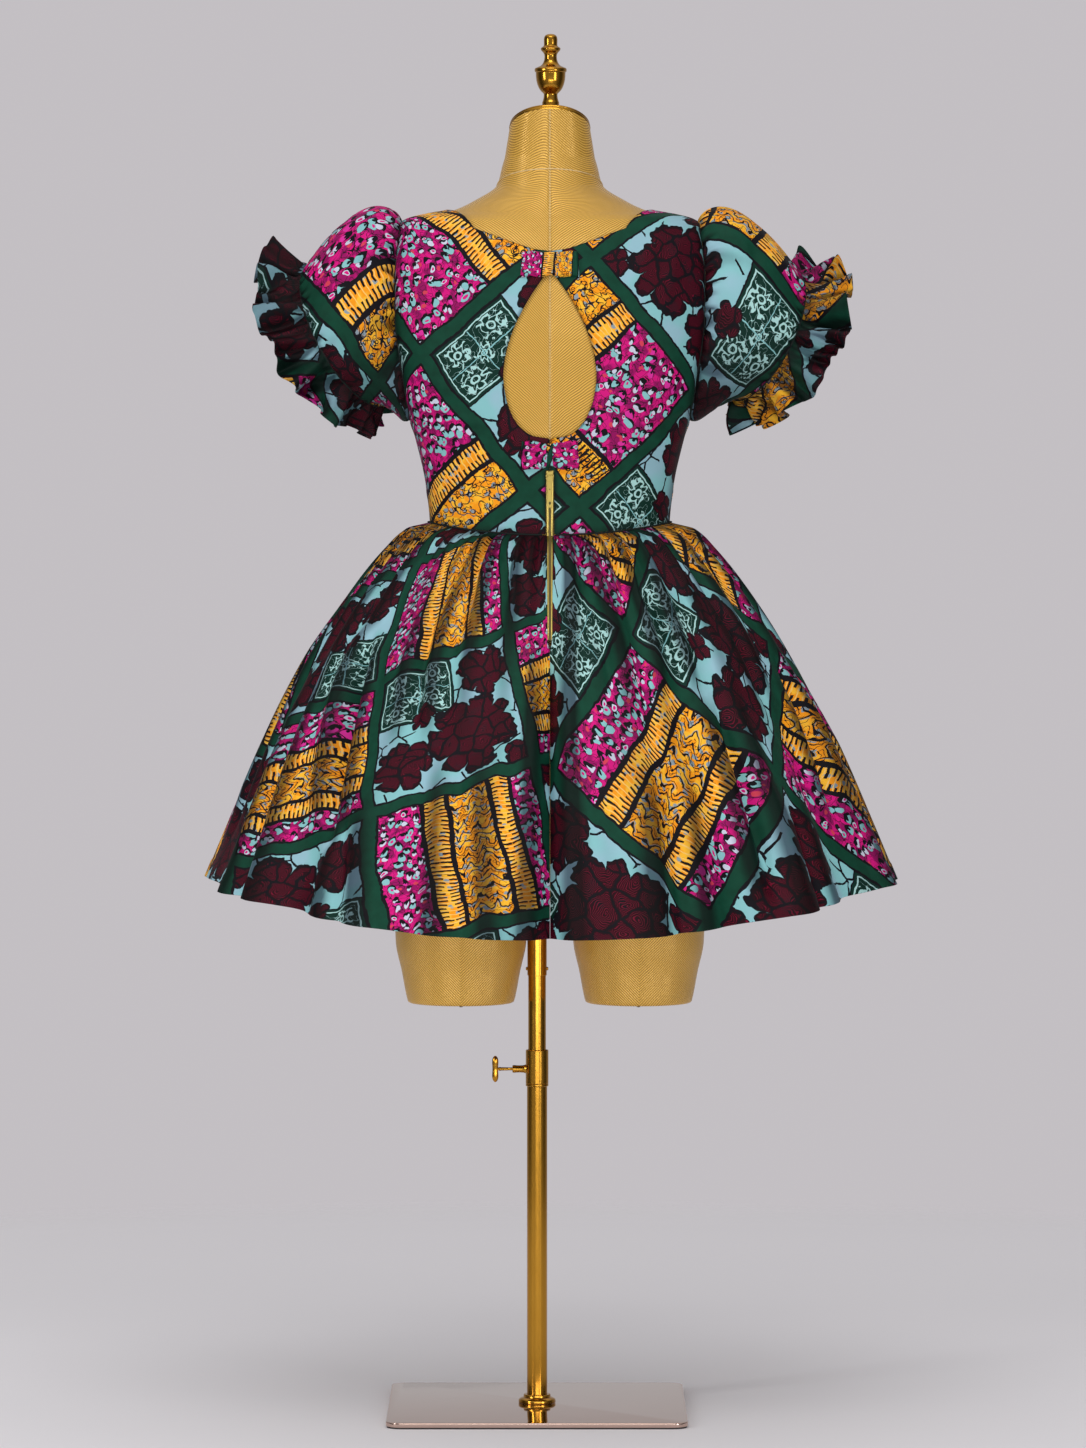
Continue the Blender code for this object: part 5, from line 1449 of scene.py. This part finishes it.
RUFFLE_CUTS = {-1: {"corner": (-0.175, 0.300), "turn": -8, "cells": (2, 2)},
               1: {"corner": (-0.020, 0.235), "turn": 8, "cells": (1, 1)}}


def along(polygon, count):
    """Points spaced evenly along a closed chain of straight edges."""
    chain = np.concatenate([polygon, polygon[:1]])
    run = run_along(chain[None], 1)[0]
    at = np.arange(count) * run[-1] / count
    return np.stack([np.interp(at, run, chain[:, k]) for k in range(3)], axis=-1)


def armhole_edge(side):
    """The bodice's armhole edge, up the back from its lowest point and down the front."""
    back = back_mid[side][:, -1][back_z[:, -1] >= ARM_BOTTOM]
    column = -1 if side > 0 else 0
    front = front_mid[:, column][front_z[:, column] >= ARM_BOTTOM]
    return np.concatenate([back, front[::-1]])


def cloth_ring(name, node, middle, out, half, uv, dark):
    """Closed cloth whose two sides lie half its thickness off a ring of middle points."""
    made = cloth_wall(name, closed_up(middle + out * half), closed_up(middle - out * half), uv,
                      cotton, closed=True, painted_shade=closed_up(dark))
    return finished(made, "form", "print", node)


for side, cuff_x, cuff_z, high, deep, lean in zip(*SLEEVES.values()):
    word = "left" if side < 0 else "right"
    lean = math.radians(lean)
    level = np.array([side * math.cos(lean), 0.0, -math.sin(lean)])
    drop_way = np.array([-side * math.sin(lean), 0.0, -math.cos(lean)])
    ahead = np.array([0.0, 1.0, 0.0])
    facing = level * math.cos(CUFF_FORWARD) + ahead * math.sin(CUFF_FORWARD)
    rear = level * math.sin(CUFF_FORWARD) - ahead * math.cos(CUFF_FORWARD)
    centre = np.array([FORM_X + side * cuff_x, CUFF_Y, cuff_z])

    def cuff(beta):
        """Points of the cuff about its middle, from its lowest point round by the back."""
        return np.cos(beta)[..., None] * drop_way * high + np.sin(beta)[..., None] * rear * deep

    beta = np.arange(SLEEVE_COLUMNS) * 2 * np.pi / SLEEVE_COLUMNS
    start = along(armhole_edge(side), SLEEVE_COLUMNS)
    inward = np.array([0.0, 0.0, ARM_MIDDLE]) - start
    inward[:, 0] = 0
    inward /= np.linalg.norm(inward, axis=1, keepdims=True)
    start = start + inward * ARM_TUCK + np.array([side * ARM_OUT, 0.0, 0.0])
    end = centre + cuff(beta)
    climb = (1 - np.cos(beta)) / 2
    leave = (-inward * (0.02 + 0.18 * climb - 0.04 * climb ** 2)[:, None]
             + np.array([side, 0.0, 0.0]) * (0.03 + 0.07 * climb * (2 - climb))[:, None])
    arrive = facing * (0.03 + 0.04 * climb)[:, None]
    t = np.unique(np.concatenate([np.linspace(0, 0.2, 18), np.linspace(0.2, 0.8, 28),
                                  np.linspace(0.8, 1.0, 18)]))[:, None, None]
    sleeve = (start * (1 + 2 * t) * (1 - t) ** 2 + leave * t * (1 - t) ** 2
              + end * t * t * (3 - 2 * t) + arrive * t * t * (t - 1))
    out = grid_normals(sleeve, True)
    out *= -np.sign(np.sum(out[20] * (sleeve[20].mean(axis=0) - sleeve[20]), axis=1).mean())
    # Gathers stand highest a little way in from both ends and fade over the puff.
    wander = beta + 0.10 * np.sin(3 * beta + side)
    ends = np.sin(np.pi * t) ** 0.5 * (np.abs(2 * t - 1) ** 0.7)
    near_end = bell(np.minimum(t, 1 - t) - 0.05, 0.09)
    cap = 0.35 + 0.65 * climb[None, :, None]
    pleat = (0.0026 * ends * np.cos(10 * beta)[None, :, None]
             + 0.0016 * near_end * cap * np.cos(33 * wander)[None, :, None]
             + 0.0009 * near_end * cap * np.cos(52 * wander + 1.0)[None, :, None])
    dip = (0.0022 * bell(t - 0.55 - 0.1 * np.sin(2 * beta)[None, :, None], 0.05)
           * np.clip(np.sin(3 * beta + 0.6), 0, 1)[None, :, None])
    bulge = 0.0060 * np.sin(np.pi * t ** 1.5) * climb[None, :, None] ** 1.5
    sleeve = sleeve + out * (pleat - dip + bulge)
    # Painted shade on the puff: darker in its gathers, on its underside under the arm, and near the
    # armhole and cuff seams.
    dark = hollows(sleeve, out, (2, 4, 7), 0.0026)
    underarm_shade = np.clip((np.cos(beta) + 0.10) / 0.85, 0, 1)[None, :] * (1 - 0.35 * t[..., 0])
    seam_shade = bell(t[..., 0], 0.05) + bell(1 - t[..., 0], 0.06)
    dark = np.clip(dark * 0.9 + 0.80 * underarm_shade + 0.60 * seam_shade, 0, 0.95)
    reach = run_along(sleeve, 0)[:, SLEEVE_COLUMNS // 4][:, None]
    uv = uv_grid(side * reach, np.linspace(0, SLEEVE_GIRTH, SLEEVE_COLUMNS + 1))
    made = cloth_ring("sleeve_cloth_" + word, "sleeve_" + word, sleeve, out, HALF_CLOTH,
                      cut(uv, **SLEEVE_CUTS[int(side)]), dark)
    "bodice_back_cloth_" + word
    # Near-black cords of painted shade along the armhole and cuff seams.
    path = start - inward * ARM_TUCK / 2 - np.array([side * ARM_OUT / 2, 0.0, 0.0])
    finished(cord_round("armhole_seam_" + word, path, 0.0009, seam_shade_cord), "form", "print")
    path = centre + cuff(beta) + facing * 0.0004
    finished(cord_round("cuff_seam_" + word, path, 0.0010, seam_shade_cord), "form", "print")

    # Ruffle: it leaves the cuff square to it and opens out in waves of unlike heights, with
    # a narrow rolled hem.
    beta = np.arange(RUFFLE_COLUMNS) * 2 * np.pi / RUFFLE_COLUMNS
    t = np.linspace(0, 1, 33)[:, None, None]
    radial = cuff(beta) / np.linalg.norm(cuff(beta), axis=1, keepdims=True)
    turn = beta + 0.05 * np.sin(5 * beta + 2 * side)
    veer = 1.5 * t[..., 0] * np.sin(4 * beta + 1.3 + side) + 0.9 * t[..., 0] ** 2 * np.sin(9 * beta)
    wave = np.cos(RUFFLE_WAVES * beta + 1.1 * np.sin(3 * beta) + veer)
    small = np.cos(2 * RUFFLE_WAVES * turn + 1.7 * np.sin(4 * beta) - 2 * veer) * 0.42
    uneven = 1 + 0.28 * np.sin(3 * beta + 1.2 * side) + 0.18 * np.sin(7 * beta)
    broad = 0.5 * np.sin(5 * beta + 0.8 + side) + 0.4 * np.sin(8 * beta + 2.0)
    wave = (wave * uneven + small + broad)[..., None]
    curl = 0.0060 * t ** 4 * np.cos(9 * beta + side)[None, :, None]
    low_part = np.clip(np.cos(beta - 0.3), 0, 1)[None, :, None] ** 2
    flare = 0.031 * t ** 1.4 * (1 - 0.42 * low_part) + 0.0100 * t ** 0.7 * wave
    forward = 0.0009 + 0.044 * t ** 0.9 * (1 - 0.20 * low_part) - 0.0100 * t ** 0.8 * wave + curl
    pinch = 0.0022 * bell(t, 0.35) * t ** 0.3 * np.cos(58 * turn)[None, :, None]
    ruffle = centre + cuff(beta) + radial * (flare + pinch) + facing * forward
    out = grid_normals(ruffle, True)
    out *= np.sign(np.sum(out[0] * radial, axis=1).mean())
    hem = 0.0004 + 0.0005 * (t > 0.93)
    fall = run_along(ruffle, 0).mean(axis=1)[:, None]
    uv = uv_grid(side * fall, np.linspace(0, RUFFLE_LENGTH, RUFFLE_COLUMNS + 1))
    # Painted shade on the ruffle: darker in its folds on both sides and near the cuff.
    dark = hollows(ruffle, out, (4, 9, 14), 0.0050)
    dark = dark + hollows(ruffle, -out, (4, 9, 14), 0.0050) * 0.6
    dark = np.clip(dark + 0.65 * bell(t[..., 0], 0.22), 0, 0.95)
    made = cloth_ring("ruffle_cloth_" + word, "sleeve_ruffle_" + word, ruffle, out, hem,
                      cut(uv, **RUFFLE_CUTS[int(side)]), dark)
    "sleeve_cloth_" + word

# Zip: two rails of close pale-gold teeth on a woven tape in the slot between the backs, from
# the lower tab down into the skirt, with a slider and a slim pull with three holes.
ZIP_TOP = 1.1125
ZIP_FOOT = 0.9170
PULL_Z = 1.1060
PULL_Y = -0.09496
PULL_LENGTH = 0.0365
PULL_HALF_THICK = 0.0006
ZIP_MID = 0.0031
ZIP_POINTS = 420
gold = metal("pale_gold_zip", (0.500, 0.370, 0.085), (0.630, 0.480, 0.140), 0.32)
tape = two_tone("olive_zip_tape", (0.100, 0.075, 0.018), (0.170, 0.130, 0.035), 0.0002,
                "ShaderNodeTexWave", {"Scale": 420.0, "Distortion": 0.6},
                {"bands_direction": "Z"}, Roughness=0.7)

bodice_line = off_form(0.0, np.linspace(ZIP_TOP, 1.0420, 40), -1, ZIP_MID + np.zeros(40))
centre_line = skirt_shape(np.full(160, -np.pi / 2), np.linspace(0.002, 0.40, 160))
centre_line = centre_line[centre_line[:, 2] > ZIP_FOOT]
chain_line = np.concatenate([bodice_line, centre_line])
chain_line[:, 0] = FORM_X
run = run_along(chain_line[None], 1)[0]
at = np.linspace(0, run[-1], ZIP_POINTS)
smooth_y = np.convolve(np.pad(np.interp(at, run, chain_line[:, 1]), 8, mode="edge"),
                       np.ones(17) / 17, mode="valid")
line = np.stack([np.full(ZIP_POINTS, FORM_X), smooth_y, np.interp(at, run, chain_line[:, 2])], axis=-1)
way = np.gradient(line, axis=0)
way /= np.linalg.norm(way, axis=1, keepdims=True)
outward = np.stack([np.zeros(ZIP_POINTS), way[:, 2], -way[:, 1]], axis=-1)
sideways = np.array([1.0, 0.0, 0.0])


def strip_along(name, path, left, right, low, high, finish):
    """Flat strip along the chain, between two distances aside and two heights off it."""
    corners = ((left, low), (right, low), (right, high), (left, high))
    rings = np.stack([path + sideways * np.reshape(a, (-1, 1)) + outward * h for a, h in corners], 1)
    return loft(name, rings, finish)


half_chain = np.interp(line[:, 2], [0.93, 1.03, 1.10], [0.0031, 0.0036, 0.0042])
backing = strip_along("zip_tape", line, -half_chain - 0.0004, half_chain + 0.0004, -0.0009, -0.0003,
                      tape)
finished(backing, "form", "zip_metal")
rails = []
turn = np.arange(10) * 2 * np.pi / 10
tooth = 1 + 0.05 * np.sign(np.sin(2 * np.pi * at / 0.0015))
for side in (-1, 1):
    middle = line + sideways * (side * half_chain * 0.66)[:, None] + outward * 0.0002
    wide = (half_chain * 0.32)[:, None, None] * tooth[:, None, None] ** 0.35
    high = 0.0010 * tooth[:, None, None]
    rings = (middle[:, None, :] + sideways * np.cos(turn)[None, :, None] * wide
             + outward[:, None, :] * np.sin(turn)[None, :, None] * high)
    rails.append(loft("rail", rings, gold, smooth=60))
finished(join("zip_rails", rails), "form", "zip_metal", "zip_chain")


def flat_plate(name, outline, y_low, y_high, finish):
    """Flat plate in the XZ plane from an outline of points, with its edges a little eased."""
    edge = 0.0002
    outline = np.asarray(outline, float)
    middle = outline.mean(axis=0)
    rings = []
    for y, draw in ((y_low, edge), (y_low + edge, 0), (y_high - edge, 0), (y_high, edge)):
        away = outline - middle
        drawn = outline - away / np.linalg.norm(away, axis=1, keepdims=True) * draw
        rings.append(np.stack([drawn[:, 0], np.full(len(drawn), y), drawn[:, 1]], axis=-1))
    return loft(name, rings, finish, smooth=30)


slider_y = float(off_form(0.0, PULL_Z, -1, ZIP_MID + 0.0013)[1])
turn = np.linspace(0, 2 * np.pi, 40, endpoint=False)
body = np.stack([FORM_X + 0.0047 * np.cos(turn) * (1 + 0.10 * np.sin(turn)),
                 PULL_Z - 0.0012 + 0.0070 * np.sin(turn)], axis=-1)
parts = [flat_plate("body", body, slider_y - 0.0022, slider_y - 0.0003, gold)]
for side in (-1, 1):
    rings = [np.stack([np.full(40, FORM_X + side * 0.0040 + x),
                       PULL_Y + 0.0012 + 0.0020 * np.sin(turn), PULL_Z + 0.0018 * np.cos(turn)],
                      axis=-1) for x in (-0.0006, 0.0006)]
    parts.append(loft("ear", rings, gold))
finished(join("zip_slider_gold", parts), "form", "zip_metal", "zip_slider")

# The pull: a slim blade that widens to its foot, round a pin, with three holes down it.
drop_at = np.linspace(0, 1, 40)
below = 0.0003 + PULL_LENGTH * drop_at
half_blade = 0.0026 - 0.0005 * np.sin(np.pi * drop_at) + 0.0012 * drop_at ** 3
half_blade = half_blade * np.sqrt(np.clip(1 - ((drop_at - 0.90) / 0.1001).clip(0) ** 2, 0.04, 1))
shape = np.concatenate([np.stack([FORM_X + half_blade, PULL_Z - below], -1),
                        np.stack([FORM_X - half_blade, PULL_Z - below], -1)[::-1]])
blade = flat_plate("blade", shape, PULL_Y - PULL_HALF_THICK, PULL_Y + PULL_HALF_THICK, gold)
for z, radius in ((PULL_Z - 0.0060, 0.00085), (PULL_Z - 0.0155, 0.00065),
                  (PULL_Z - 0.0315, 0.0013)):
    drill = loft("drill", [np.stack([FORM_X + radius * np.cos(turn), np.full(40, PULL_Y + y),
                                     z + 1.5 * radius * np.sin(turn)], -1)
                           for y in (-0.003, 0.003)], gold)
    bore = blade.modifiers.new("bore", "BOOLEAN")
    bore.operation, bore.solver, bore.object = "DIFFERENCE", "EXACT", drill
    bpy.context.view_layer.update()
    cut_mesh = bpy.data.meshes.new_from_object(
        blade.evaluated_get(bpy.context.evaluated_depsgraph_get()))
    blade.modifiers.clear()
    blade.data = cut_mesh
    bpy.data.objects.remove(drill, do_unlink=True)
pin = lying("pin", [(0.0004, FORM_X - 0.0030), (0.0010, FORM_X - 0.0029),
                    (0.0010, FORM_X + 0.0029), (0.0004, FORM_X + 0.0030)], gold, PULL_Y, PULL_Z, 16)
finished(join("zip_pull_gold", [blade, pin]), "pull", "zip_metal", "zip_pull")
